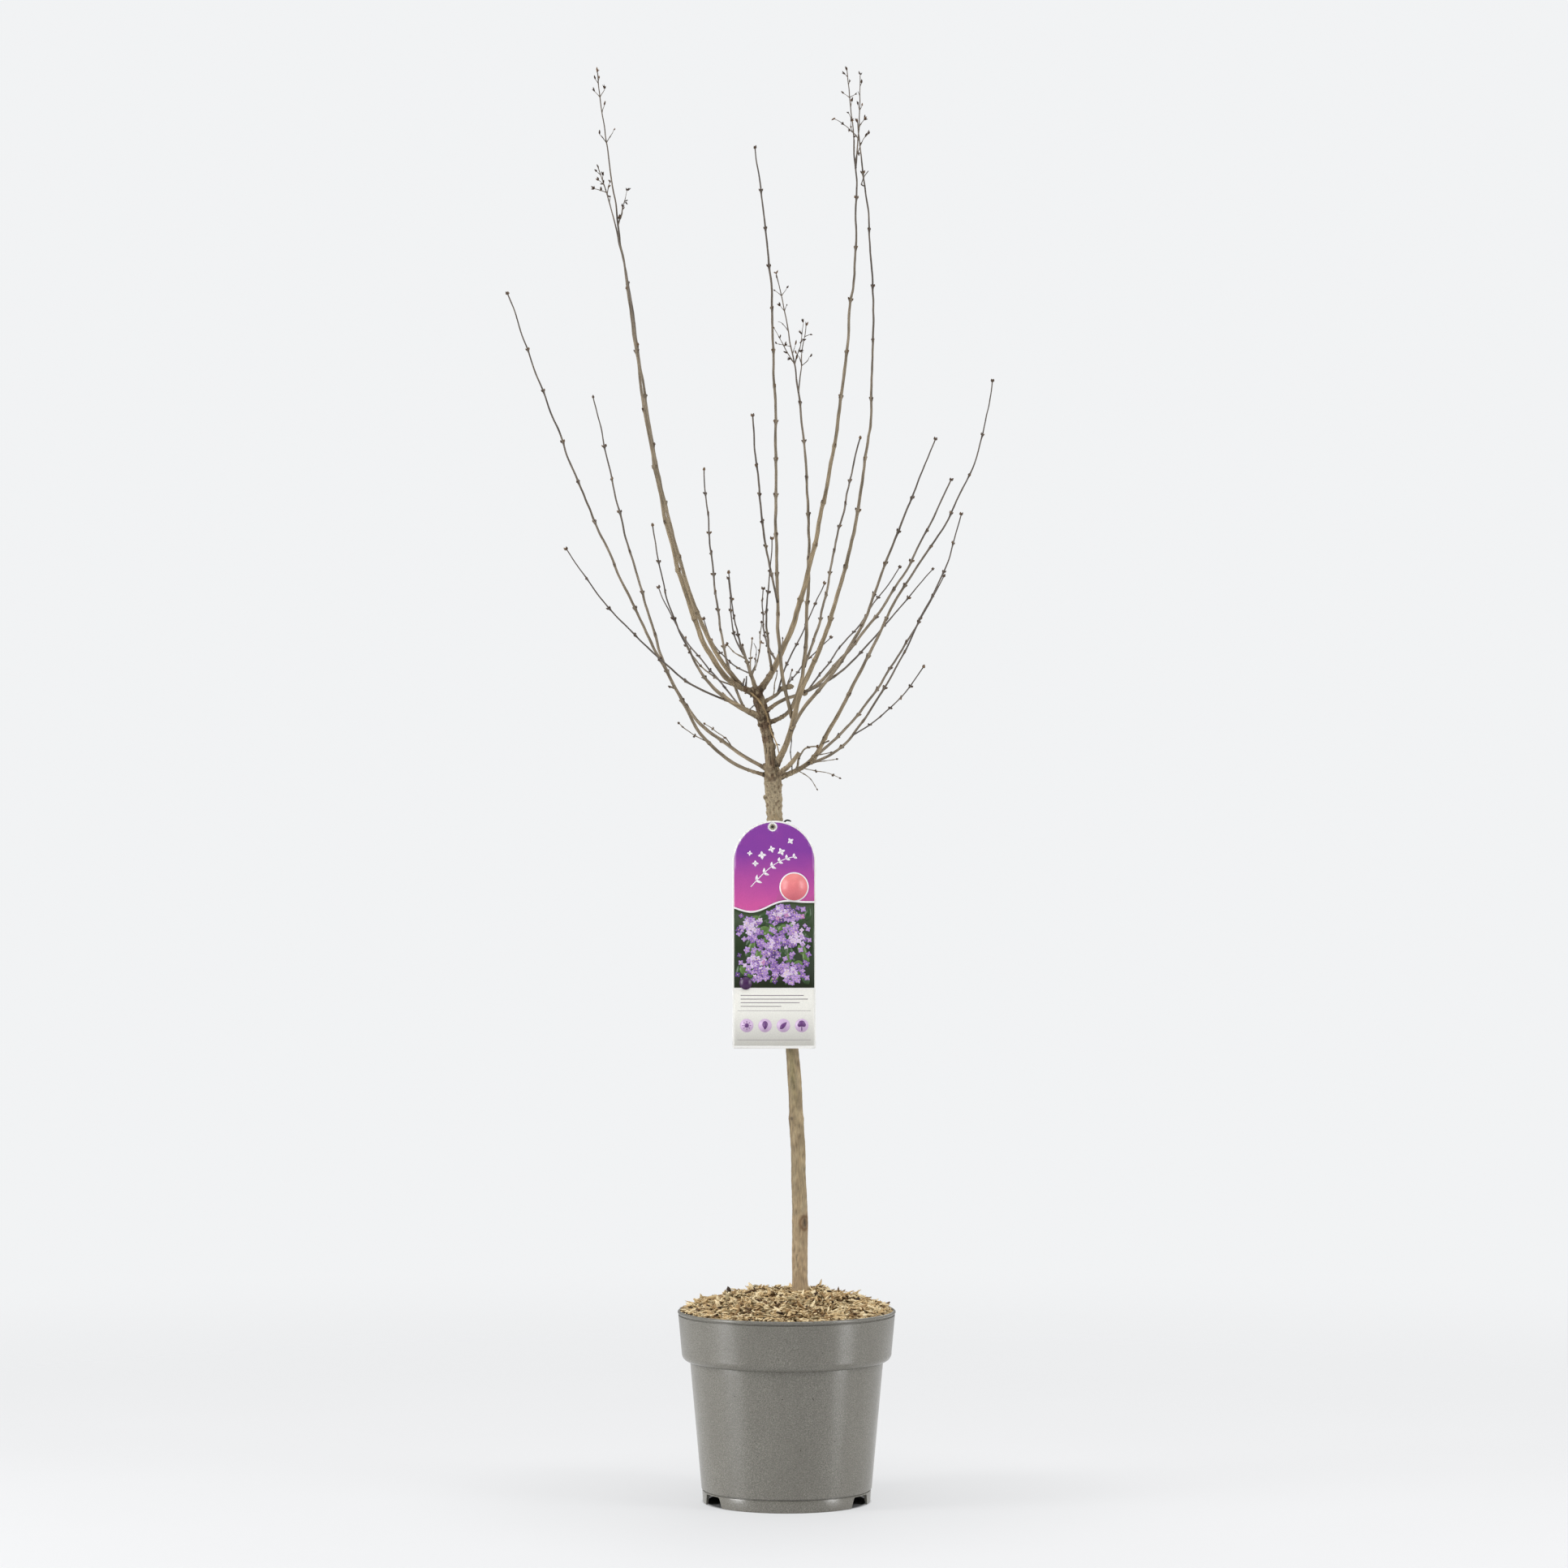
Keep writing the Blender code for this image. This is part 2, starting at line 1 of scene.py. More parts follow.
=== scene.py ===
"""Looks of the potted lilac shrub, leafless in winter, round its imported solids.

Sizes are millimetres in the solids' own frame: the origin is the middle of the
pot's underside, +Z is up and -Y faces the front.  Limbs are given as they show
in front elevation, x to the right of the pot's axis and z above its underside,
with the depth of their tips, as in the solids' own source.
"""

import math

import bmesh
import bpy
import numpy as np
from mathutils import Matrix, Vector


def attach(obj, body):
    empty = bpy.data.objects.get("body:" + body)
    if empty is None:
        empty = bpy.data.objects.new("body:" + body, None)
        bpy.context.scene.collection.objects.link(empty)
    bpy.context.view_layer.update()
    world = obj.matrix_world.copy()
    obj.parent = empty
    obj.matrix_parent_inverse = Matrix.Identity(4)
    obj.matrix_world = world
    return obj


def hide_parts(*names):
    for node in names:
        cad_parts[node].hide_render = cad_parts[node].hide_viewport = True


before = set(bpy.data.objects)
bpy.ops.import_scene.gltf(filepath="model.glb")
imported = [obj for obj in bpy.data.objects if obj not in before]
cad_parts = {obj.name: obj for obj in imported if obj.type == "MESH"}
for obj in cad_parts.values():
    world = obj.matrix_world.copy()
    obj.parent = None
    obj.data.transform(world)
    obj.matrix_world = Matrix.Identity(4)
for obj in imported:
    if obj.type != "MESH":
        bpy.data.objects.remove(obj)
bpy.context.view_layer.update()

MM = 0.001
TAU = 2.0 * math.pi

# ------------------------------------------------------------ camera and stage
EYE_DISTANCE = 4700.0
EYE_HEIGHT = 705.0
EYE_X = -2.6
SENSOR = 36.0
PICTURE_WIDTH = 1541.9      # how much the picture takes in at the stem, mm

# --------------------------------------------------------------------- the pot
POT_HEIGHT = 188.0
POT_WALL = 1.6
RIM_R = 106.9
COLLAR_FOOT_R = 103.2
COLLAR_FOOT_Z = 146.0
COLLAR_ROUND = 7.6
SHOULDER_R = 94.9
WALL_FOOT_R = 83.7
WALL_FOOT_Z = 13.4
FOOT_R = 83.0
FOOT_HEIGHT = 12.6
FOOT_WALL = 2.6
FLOOR_TOP = 14.0
PAD_R = 30.0
NOTCHES = (-151.5, -28.5, 90.0)
NOTCH_HALF_TOP = 14.0
NOTCH_HALF_FLOOR = 17.5
NOTCH_TOP = 10.8
DRAIN_R = 6.0
DRAIN_RING = 58.0

MOUND = ((0.0, 205.0), (24.0, 205.0), (44.0, 201.5), (66.0, 197.0),
         (86.0, 191.5), (98.0, 186.5), (104.4, 182.5))

# ------------------------------------------------------------------- the limbs
STEM = (
    (205.3, 13.0, 0.0, 8.6), (214.0, 12.9, 0.0, 7.8), (246.0, 13.1, 0.4, 7.5),
    (270.0, 12.9, 0.6, 7.8), (282.0, 12.8, 0.6, 7.4), (330.0, 11.6, 0.8, 7.0),
    (372.0, 10.0, 0.6, 7.2), (384.0, 9.4, 0.4, 6.7), (446.0, 5.4, 0.0, 6.1),
    (520.0, 0.4, -0.5, 5.9), (600.0, -5.8, -0.4, 6.2), (655.0, -10.4, 0.0, 6.9),
    (682.0, -12.2, 0.2, 7.6), (700.0, -13.0, 0.3, 8.6), (712.0, -13.6, 0.4, 9.0),
    (724.0, -15.0, 0.4, 6.4), (734.0, -16.4, 0.4, 5.5), (753.0, -19.4, 0.4, 5.3),
    (768.0, -22.3, 0.4, 6.4), (778.0, -24.2, 0.4, 5.9), (788.0, -27.0, 0.4, 5.6),
    (795.0, -29.2, 0.4, 5.2), (799.0, -30.2, 0.4, 4.0), (801.4, -30.8, 0.4, 1.8),
)

# name, parent, foot (x, z), guide points (x, z) up to the tip, depth of the tip,
# thickness at foot and tip, how fast it thins, sides (of the solid)
LIMBS = (
    ("bough_left_low", "trunk", (-14, 712),
     ((-53, 726), (-82, 752), (-109, 799), (-150, 879), (-213, 1022), (-274, 1187)),
     -60, 3.5, 1.2, 1.0, 8),
    ("bough_left_rear", "trunk", (-14, 718),
     ((-51, 738), (-87, 767), (-111, 803), (-140, 886), (-190, 1085)),
     150, 3.8, 1.2, 1.05, 8),
    ("bough_right_low", "trunk", (-13, 709),
     ((24, 728), (41, 756), (84, 839), (113, 896), (155, 959), (187, 1029), (202, 1101)),
     30, 5.0, 1.2, 1.7, 8),
    ("shoot_right_low_back", "bough_right_low", (27, 731),
     ((57, 758), (105, 823), (136, 876), (155, 915), (171, 970)),
     165, 2.9, 1.2, 1.0, 6),
    ("shoot_right_low_front", "bough_right_low", (20, 726),
     ((40, 732), (65, 753), (83, 778), (133, 869), (154, 909)),
     -100, 2.9, 1.2, 1.2, 6),
    ("shoot_right_low_thin", "shoot_right_low_front", (65, 753),
     ((91, 770), (135, 820)),
     -170, 1.5, 1.15, 1.0, 6),
    ("bough_right_upright", "trunk", (-12, 716),
     ((0, 745), (13, 793), (32, 837), (57, 917), (77, 1021), (85, 1180), (69, 1356)),
     -95, 6.0, 1.5, 1.9, 8),
    ("bough_right_front", "bough_right_upright", (4, 757),
     ((13, 774), (43, 811), (73, 860), (94, 914), (146, 1044)),
     -180, 3.8, 1.2, 0.95, 8),
    ("bough_centre_tall", "bough_right_upright", (2, 767),
     ((-3, 805), (-9, 885), (-11, 1050), (-19, 1234), (-31, 1331)),
     -30, 3.7, 1.2, 0.8, 8),
    ("shoot_centre_side", "bough_centre_tall", (-9, 883),
     ((-17, 922), (-28, 998), (-33, 1067)),
     -130, 2.3, 1.5, 0.9, 6),
    ("stub_cut", "trunk", (-12, 712),
     ((0, 721), (12.5, 736)),
     -20, 5.0, 4.0, 1.0, 8),
    ("bough_left_mid", "trunk", (-23, 768),
     ((-46, 781), (-70, 797), (-95, 835), (-114, 879), (-132, 959)),
     -190, 6.6, 1.3, 3.2, 8),
    ("shoot_left_front", "bough_left_mid", (-53, 784),
     ((-86, 799), (-138, 840), (-179, 883), (-217, 936)),
     -120, 2.1, 1.1, 0.9, 6),
    ("shoot_left_thin", "bough_left_mid", (-46, 781),
     ((-64, 804), (-98, 845), (-126, 898)),
     90, 1.9, 1.1, 0.9, 6),
    ("shoot_left_back", "bough_left_mid", (-41, 778.5),
     ((-49, 796), (-58, 824), (-67, 872), (-77, 961), (-81, 1014)),
     195, 2.8, 1.3, 1.1, 6),
    ("bough_middle_tall", "trunk", (-20, 764),
     ((1, 775), (13, 802), (20, 869), (20, 999), (8, 1115), (-10, 1207)),
     70, 4.1, 1.2, 1.0, 8),
    ("shoot_middle_fork", "bough_middle_tall", (12, 1090),
     ((15, 1124), (18, 1156)),
     100, 1.5, 1.1, 1.0, 6),
    ("shoot_middle_side", "bough_middle_tall", (17, 820),
     ((31, 861), (46, 930), (58, 985), (72, 1045)),
     195, 2.7, 1.5, 0.8, 6),
    ("bough_right_mid", "trunk", (-24, 775),
     ((-3, 788), (18, 795), (57, 832), (107, 899), (162, 1004)),
     150, 3.8, 1.6, 1.1, 8),
    ("shoot_right_mid_thin", "bough_right_mid", (20, 797),
     ((35, 816), (69, 859), (89, 887), (111, 918)),
     210, 1.9, 1.1, 1.0, 6),
    ("shoot_right_mid_side", "bough_right_mid", (14, 794),
     ((43, 808), (75, 837), (106, 873), (143, 916)),
     65, 2.4, 1.1, 1.1, 6),
    ("bough_stub_right", "trunk", (-26, 783),
     ((-10, 793), (-2, 800), (6, 800)),
     30, 3.6, 3.0, 1.0, 8),
    ("shoot_stub_front", "bough_stub_right", (-9, 794),
     ((-3, 815), (20, 863), (37, 902)),
     60, 1.8, 1.1, 1.1, 6),
    ("shoot_stub_back", "bough_stub_right", (-1, 800),
     ((12, 817), (43, 849)),
     120, 1.5, 1.1, 1.0, 6),
    ("bough_left_tall", "trunk", (-29, 795),
     ((-54, 805), (-77, 836), (-88, 861), (-106.5, 917), (-129.5, 1015), (-152, 1160),
      (-187, 1406)),
     -75, 5.6, 1.3, 1.4, 8),
    ("bough_left_tall_twin", "bough_left_tall", (-42, 801),
     ((-71.5, 837), (-83, 861), (-103, 917), (-127.3, 1014), (-150.5, 1160), (-166, 1246),
      (-185, 1311)),
     55, 4.6, 1.3, 1.1, 8),
    ("bough_centre_front", "trunk", (-29, 796),
     ((-36, 815), (-46, 843), (-55, 891), (-57, 913)),
     -160, 4.6, 1.1, 2.6, 8),
    ("shoot_centre_front_twin", "bough_centre_front", (-43, 832),
     ((-50, 847), (-56, 891), (-58, 907)),
     -95, 1.7, 1.1, 1.2, 6),
    ("shoot_left_tall_side", "bough_centre_front", (-37, 813),
     ((-49, 820), (-67, 837), (-75, 849), (-82, 867)),
     60, 1.5, 1.1, 1.0, 6),
    ("bough_right_tall", "trunk", (-29, 795),
     ((-20, 806), (4, 856), (29, 948), (48, 1046), (60, 1146), (69, 1260), (59, 1407)),
     85, 6.0, 1.3, 1.4, 8),
    ("shoot_right_tall_tip", "bough_right_tall", (69, 1310),
     ((71, 1350), (72, 1402)),
     120, 1.8, 1.1, 1.0, 6),
    ("shoot_centre_back", "bough_right_tall", (-14, 826),
     ((-18, 840), (-24, 872), (-23, 897)),
     115, 2.3, 1.1, 1.2, 6),
    ("shoot_centre_near", "bough_right_tall", (-18, 818),
     ((-19, 848), (-18, 903), (-15, 946)),
     -105, 2.9, 1.1, 1.7, 6),
)

# the pairs of buds on each limb: how far up the first pair is, the first gap,
# the gap by the tip, and how the limb ends
BUD_PAIRS = {
    "bough_left_low": (64, 52, 46, "buds"),
    "bough_left_rear": (60, 50, 36, "buds"),
    "bough_right_low": (60, 46, 40, "buds"),
    "shoot_right_low_back": (40, 40, 28, "buds"),
    "shoot_right_low_front": (42, 44, 34, "buds"),
    "shoot_right_low_thin": (44, 30, 24, "buds"),
    "bough_right_upright": (110, 46, 62, "pods"),
    "bough_right_front": (56, 44, 38, "buds"),
    "bough_centre_tall": (64, 40, 37, "buds"),
    "shoot_centre_side": (34, 36, 30, "buds"),
    "stub_cut": (0, 0, 0, "cut"),
    "bough_left_mid": (66, 46, 34, "buds"),
    "shoot_left_front": (50, 46, 30, "buds"),
    "shoot_left_thin": (38, 34, 26, "buds"),
    "shoot_left_back": (46, 30, 26, "buds"),
    "bough_middle_tall": (90, 50, 38, "pods"),
    "shoot_middle_fork": (0, 0, 0, "pods"),
    "shoot_middle_side": (40, 36, 28, "buds"),
    "bough_right_mid": (62, 42, 34, "buds"),
    "shoot_right_mid_thin": (38, 34, 28, "buds"),
    "shoot_right_mid_side": (34, 40, 30, "buds"),
    "bough_stub_right": (0, 0, 0, "cut"),
    "shoot_stub_front": (30, 26, 22, "buds"),
    "shoot_stub_back": (22, 20, 18, "buds"),
    "bough_left_tall": (96, 50, 66, "pods"),
    "bough_left_tall_twin": (86, 52, 60, "pods"),
    "bough_centre_front": (34, 28, 24, "buds"),
    "shoot_centre_front_twin": (22, 22, 20, "buds"),
    "shoot_left_tall_side": (26, 24, 20, "buds"),
    "bough_right_tall": (100, 50, 58, "pods"),
    "shoot_right_tall_tip": (0, 0, 0, "pods"),
    "shoot_centre_back": (20, 22, 18, "buds"),
    "shoot_centre_near": (30, 28, 24, "buds"),
}

# where the dry flower heads begin, up the limb that carries each: from there
# the limb thins to a stalk
HEADS = {"bough_left_tall": 1252, "bough_left_tall_twin": 1245,
         "bough_right_tall": 1318, "bough_right_upright": 1318,
         "shoot_right_tall_tip": 1316, "bough_middle_tall": 1092,
         "shoot_middle_fork": 1100}

# twigs: the limb that carries each, its way (x, z) from foot to tip, how far
# the tip leans back, thickness at foot and tip, how it ends and what it bears
TWIGS = (
    # round the lower whorl
    ("bough_left_low", ((-79, 744.5), (-97, 757), (-106, 764.5)), -14, 1.1, 0.8, "bud", "buds"),
    ("bough_left_rear", ((-53, 740), (-59, 749), (-70, 757), (-80, 764)), 16, 1.3, 0.8, "bud", "buds"),
    ("bough_right_low", ((7, 723), (12.5, 731), (19, 740), (30, 742)), -20, 2.4, 1.3, "buds", "buds"),
    ("bough_right_low", ((23, 725), (40, 728), (49, 729.5)), 16, 1.0, 0.7, "bud", "bare"),
    ("bough_right_low", ((16.5, 720), (28, 718), (40, 716), (52, 711)), -18, 1.0, 0.7, "bud", "buds"),
    ("bough_right_low", ((12, 717.5), (24, 709.5), (30, 700)), 14, 0.9, 0.6, "bud", "bare"),
    ("bough_right_low", ((4, 722), (4.2, 738), (5.5, 753)), 12, 1.2, 0.8, "dry", "bare"),
    ("bough_right_low", ((31, 731), (44, 736)), -12, 1.2, 0.9, "bud", "bare"),
    ("bough_right_low", ((36, 742), (40, 747)), -5, 1.6, 1.3, "bud", "bare"),
    # round the middle joint
    ("trunk", ((-30, 786), (-50, 801), (-64, 806), (-80, 817), (-94, 833), (-99, 841)), 34, 2.1, 1.1, "buds", "buds"),
    ("bough_left_mid", ((-49, 783), (-55, 787.5), (-66, 795.5)), -10, 0.9, 0.6, "dry", "bare"),
    ("bough_left_mid", ((-38, 778), (-30, 784.5)), 10, 1.1, 0.8, "dry", "bare"),
    ("bough_stub_right", ((0.5, 800), (2.5, 808), (5.5, 816.5)), -12, 1.2, 0.9, "bud", "bare"),
    ("bough_stub_right", ((-13, 792), (-11.5, 805), (-10, 815.5)), 14, 1.2, 0.9, "bud", "bare"),
    # round the top fork
    ("bough_centre_front", ((-43, 827.5), (-52, 835), (-58.5, 842)), 12, 1.5, 1.0, "buds", "bare"),
    ("bough_centre_front", ((-41.5, 824), (-42.5, 841)), -8, 1.3, 1.0, "bud", "bare"),
    ("bough_centre_front", ((-37, 813), (-35.5, 827), (-34.6, 839), (-34, 847.5)), -16, 1.4, 0.9, "bud", "buds"),
    ("bough_centre_front", ((-34.6, 811.6), (-30.5, 821), (-27, 835), (-26, 849), (-25, 863.5)), 24, 1.5, 0.9, "bud", "pods"),
    ("bough_centre_front", ((-34, 814), (-30, 828), (-32, 843.5)), 18, 0.9, 0.6, "dry", "bare"),
    ("bough_right_tall", ((-9, 835), (-4, 848)), -9, 1.3, 1.0, "bud", "bare"),
    ("bough_left_tall", ((-44, 802), (-41.5, 808.5)), -5, 2.0, 1.6, "dry", "bare"),
    ("bough_left_tall", ((-39, 802), (-39.5, 811)), 4, 1.7, 1.3, "dry", "bare"),
    # the dead strip that hangs across the stem
    ("bough_left_tall", ((-39, 800.5), (-30, 790), (-20, 773), (-14, 753), (-10, 745), (-7.5, 733.5)), -13, 1.9, 1.0, "dry", "pod"),
    # the snag on the low left bough
    ("bough_left_low", ((-108, 799), (-114.5, 800.5)), -3, 1.8, 1.4, "buds", "bare"),
    # flower head of the tall left bough
    ("bough_left_tall", ((-166, 1254), (-162, 1266), (-161.4, 1273)), -12, 1.0, 0.6, "pods", "pods"),
    ("bough_left_tall", ((-166, 1255), (-162, 1270), (-158.2, 1282), (-157, 1288)), 10, 1.0, 0.5, "pods", "pods"),
    ("bough_left_tall", ((-175.8, 1337), (-184, 1344)), -6, 0.9, 0.5, "pod", "bare"),
    ("bough_left_tall", ((-175.8, 1337), (-170, 1348)), 7, 0.9, 0.5, "pod", "bare"),
    ("bough_left_tall", ((-180.2, 1366), (-180.0, 1373)), -5, 0.8, 0.5, "pods", "bare"),
    ("bough_left_tall", ((-183.4, 1380.5), (-188.6, 1386)), 5, 0.8, 0.5, "pods", "bare"),
    ("bough_left_tall", ((-183.4, 1380.5), (-179, 1388.5)), -5, 0.8, 0.5, "pods", "pods"),
    ("bough_left_tall", ((-185.6, 1396), (-184.3, 1399)), 2, 0.7, 0.5, "pod", "bare"),
    ("bough_left_tall", ((-185.6, 1395), (-187.8, 1398)), -2, 0.7, 0.5, "pod", "bare"),
    # and of its twin
    ("bough_left_tall_twin", ((-175, 1277), (-173.5, 1282)), 8, 1.0, 0.6, "pods", "bare"),
    ("bough_left_tall_twin", ((-179, 1284), (-175, 1293.6), (-173.4, 1297)), -9, 1.0, 0.5, "pods", "pods"),
    ("bough_left_tall_twin", ((-180.5, 1286), (-188.6, 1290.4)), 10, 1.0, 0.6, "heap", "pods"),
    ("bough_left_tall_twin", ((-180.8, 1289), (-180, 1295)), -7, 0.9, 0.5, "pods", "bare"),
    ("bough_left_tall_twin", ((-181.6, 1294), (-184.6, 1299)), 6, 0.9, 0.5, "heap", "bare"),
    ("bough_left_tall_twin", ((-182.6, 1299), (-180.6, 1304)), -5, 0.8, 0.5, "heap", "bare"),
    ("bough_left_tall_twin", ((-183.4, 1303), (-186.4, 1307)), -5, 0.8, 0.5, "pods", "bare"),
    # and of the tall right boughs
    ("bough_right_upright", ((70.6, 1291), (73.2, 1295), (80.4, 1308)), -14, 1.3, 0.8, "dry", "bare"),
    ("bough_right_tall", ((68.2, 1318), (74, 1336), (76.4, 1340.6), (80.4, 1344)), 14, 1.0, 0.6, "pods", "pods"),
    ("bough_right_tall", ((67, 1325), (66.8, 1336), (65.2, 1345.4)), 20, 1.0, 0.6, "dry", "bare"),
    ("bough_right_upright", ((69.6, 1338), (64.4, 1346), (54, 1355), (46.8, 1359)), -16, 1.0, 0.5, "pods", "pods"),
    ("shoot_right_tall_tip", ((71, 1345), (74, 1355.8), (76.4, 1358.5)), -7, 0.9, 0.6, "heap", "bare"),
    ("bough_right_tall", ((65, 1345), (63.5, 1350), (63.4, 1357)), -9, 0.9, 0.5, "pods", "pods"),
    ("bough_right_tall", ((63.6, 1356), (61, 1364.6)), -8, 0.8, 0.5, "pod", "bare"),
    ("bough_right_tall", ((61.6, 1379), (56.4, 1384)), 6, 0.8, 0.5, "pod", "bare"),
    ("bough_right_tall", ((61.6, 1379), (66.8, 1383)), -6, 0.8, 0.5, "pod", "bare"),
    ("bough_right_tall", ((62, 1371), (64.2, 1376.5)), 5, 0.8, 0.5, "heap", "bare"),
    ("bough_right_tall", ((59.8, 1392), (61.6, 1395)), 2, 0.7, 0.5, "pod", "bare"),
    ("bough_right_tall", ((59.4, 1400), (57.4, 1403)), -2, 0.7, 0.5, "pod", "bare"),
    ("shoot_right_tall_tip", ((71.4, 1368), (74.4, 1372)), 4, 0.8, 0.5, "pod", "bare"),
    ("shoot_right_tall_tip", ((71.4, 1368), (70, 1373)), -4, 0.8, 0.5, "pods", "bare"),
    ("shoot_right_tall_tip", ((71.8, 1382), (70.2, 1386)), 3, 0.7, 0.5, "dry", "bare"),
    ("shoot_right_tall_tip", ((72, 1391), (73.6, 1394)), -2, 0.7, 0.5, "pod", "bare"),
    # and of the middle bough
    ("bough_middle_tall", ((7, 1116.4), (-1.8, 1134), (-9.8, 1149), (-12.2, 1153)), -14, 1.1, 0.5, "pod", "pods"),
    ("bough_middle_tall", ((-0.6, 1133), (-9.8, 1138)), -22, 0.7, 0.5, "pod", "bare"),
    ("bough_middle_tall", ((7, 1116.4), (11, 1128.4), (14, 1138), (15, 1145), (16.5, 1158.7)), 12, 1.1, 0.5, "pods", "heap"),
    ("bough_middle_tall", ((10.4, 1128), (8.5, 1137)), 4, 0.8, 0.5, "pods", "bare"),
    ("bough_middle_tall", ((1.4, 1150), (-5.8, 1158.7), (-9, 1159.5)), 9, 0.8, 0.5, "dry", "bare"),
    ("bough_middle_tall", ((-1.8, 1170), (-6.6, 1175.5)), -6, 0.8, 0.5, "heap", "bare"),
    ("bough_middle_tall", ((-1.8, 1170), (0, 1175.5)), 6, 0.8, 0.5, "pod", "bare"),
    ("bough_middle_tall", ((-5, 1186), (-10.6, 1190)), 6, 0.8, 0.5, "pod", "bare"),
    ("bough_middle_tall", ((-5, 1186), (-1.8, 1190), (-0.2, 1193)), -6, 0.8, 0.5, "pod", "pods"),
    ("bough_middle_tall", ((-8, 1198), (-9.6, 1202)), 2, 0.7, 0.5, "pod", "bare"),
    ("shoot_middle_fork", ((15.2, 1116), (12.5, 1124), (9.3, 1128.4)), -7, 0.9, 0.5, "pods", "bare"),
    ("shoot_middle_fork", ((15.2, 1116), (19.7, 1120.4), (22.1, 1125)), 7, 0.9, 0.5, "pods", "bare"),
    ("shoot_middle_fork", ((17, 1136), (16.5, 1141)), -5, 0.8, 0.5, "pods", "bare"),
    ("shoot_middle_fork", ((17.4, 1145), (22.9, 1147)), 5, 0.8, 0.5, "pod", "bare"),
)

# ------------------------------------------------------------------ the tag
TAG_WIDTH = 82.0
TAG_X = -12.2
TAG_BOTTOM = 445.4
TAG_ARCH_Z = 628.0
TAG_FRONT = -10.0
TAG_THICK = 0.8
EYELET = (-13.8, 663.0)
EYELET_R = 2.6
TIE_Z = (660.6, 665.4)
TIE_WIDTH = 6.4
TIE_THICK = 1.0


# --------------------------------------------------------------------- helpers
def linear(r, g, b):
    """A colour written in 0-255 screen values, as the shader takes it."""
    def one(v):
        v /= 255.0
        return v / 12.92 if v <= 0.04045 else ((v + 0.055) / 1.055) ** 2.4
    return (one(r), one(g), one(b), 1.0)


def smooth(edge0, edge1, x):
    t = np.clip((np.asarray(x, float) - edge0) / (edge1 - edge0), 0.0, 1.0)
    return t * t * (3 - 2 * t)


class Waves:
    """Smooth seeded noise at any points: a sum of plane waves, mean 0 and
    spread about 1."""

    def __init__(self, seed, count=14):
        rng = np.random.default_rng(seed)
        d = rng.normal(size=(count, 3))
        self.way = d / np.linalg.norm(d, axis=1)[:, None] * rng.uniform(0.7, 1.4, (count, 1))
        self.phase = rng.uniform(0, TAU, count)
        self.gain = math.sqrt(2.0 / count)

    def __call__(self, points, size):
        """points (n, 3) in mm; size is the length of one wave in mm, a number
        or one for each axis."""
        p = np.asarray(points, float) * (TAU / np.asarray(size, float))
        return self.gain * np.sin(p @ self.way.T + self.phase).sum(-1)


def make_mesh(name, verts, quads=(), tris=(), smooth_faces=True, sharp=None):
    """verts in mm; quads (n, 4) and tris (m, 3) index them."""
    quads = np.asarray(quads, np.int32).reshape(-1, 4)
    tris = np.asarray(tris, np.int32).reshape(-1, 3)
    me = bpy.data.meshes.new(name)
    co = (np.asarray(verts, np.float64) * MM).astype(np.float32)
    me.vertices.add(len(co))
    me.vertices.foreach_set("co", co.ravel())
    me.loops.add(quads.size + tris.size)
    me.loops.foreach_set("vertex_index", np.concatenate([quads.ravel(), tris.ravel()]))
    me.polygons.add(len(quads) + len(tris))
    starts = np.concatenate([np.arange(len(quads)) * 4,
                             quads.size + np.arange(len(tris)) * 3]).astype(np.int32)
    me.polygons.foreach_set("loop_start", starts)
    me.update(calc_edges=True)
    me.validate()
    if smooth_faces:
        me.shade_smooth()
        if sharp is not None:
            me.set_sharp_from_angle(angle=math.radians(sharp))
    return me


def add_piece(name, mesh, mat, stands_for=()):
    obj = bpy.data.objects.new(name, mesh)
    bpy.context.scene.collection.objects.link(obj)
    mesh.materials.clear()
    mesh.materials.append(mat)
    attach(obj, "root")
    if stands_for:
        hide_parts(*stands_for)
    return obj


def put_colours(mesh, name, colours):
    """One colour (n, 3) for each vertex."""
    layer = mesh.attributes.new(name, "FLOAT_COLOR", "POINT")
    rgba = np.ones((len(colours), 4), np.float32)
    rgba[:, :3] = np.clip(colours, 0.0, 1.0)
    layer.data.foreach_set("color", rgba.ravel())


def put_vectors(mesh, name, vectors):
    layer = mesh.attributes.new(name, "FLOAT_VECTOR", "POINT")
    layer.data.foreach_set("vector", np.asarray(vectors, np.float32).ravel())


class Bag:
    """Many small copies of a few shapes, joined into one mesh."""

    def __init__(self):
        self.verts, self.quads, self.tris, self.count = [], [], [], 0

    def add(self, verts, quads=None, tris=None):
        if quads is not None and len(quads):
            self.quads.append(np.asarray(quads) + self.count)
        if tris is not None and len(tris):
            self.tris.append(np.asarray(tris) + self.count)
        self.verts.append(np.asarray(verts, float))
        self.count += len(verts)

    def scatter(self, shape, frames, places):
        """shape (verts, quads, tris); frames (n, 3, 3) with the shape's axes as
        rows; places (n, 3)."""
        verts, quads, tris = shape
        frames, places = np.asarray(frames), np.asarray(places)
        if not len(places):
            return
        n, k = len(places), len(verts)
        self.verts.append((verts @ frames + places[:, None, :]).reshape(-1, 3))
        step = (np.arange(n) * k)[:, None, None] + self.count
        if len(quads):
            self.quads.append((np.asarray(quads)[None] + step).reshape(-1, 4))
        if len(tris):
            self.tris.append((np.asarray(tris)[None] + step).reshape(-1, 3))
        self.count += n * k

    def mesh(self, name, sharp=None, smooth_faces=True):
        quads = np.concatenate(self.quads) if self.quads else ()
        tris = np.concatenate(self.tris) if self.tris else ()
        return make_mesh(name, np.concatenate(self.verts), quads, tris, smooth_faces, sharp)


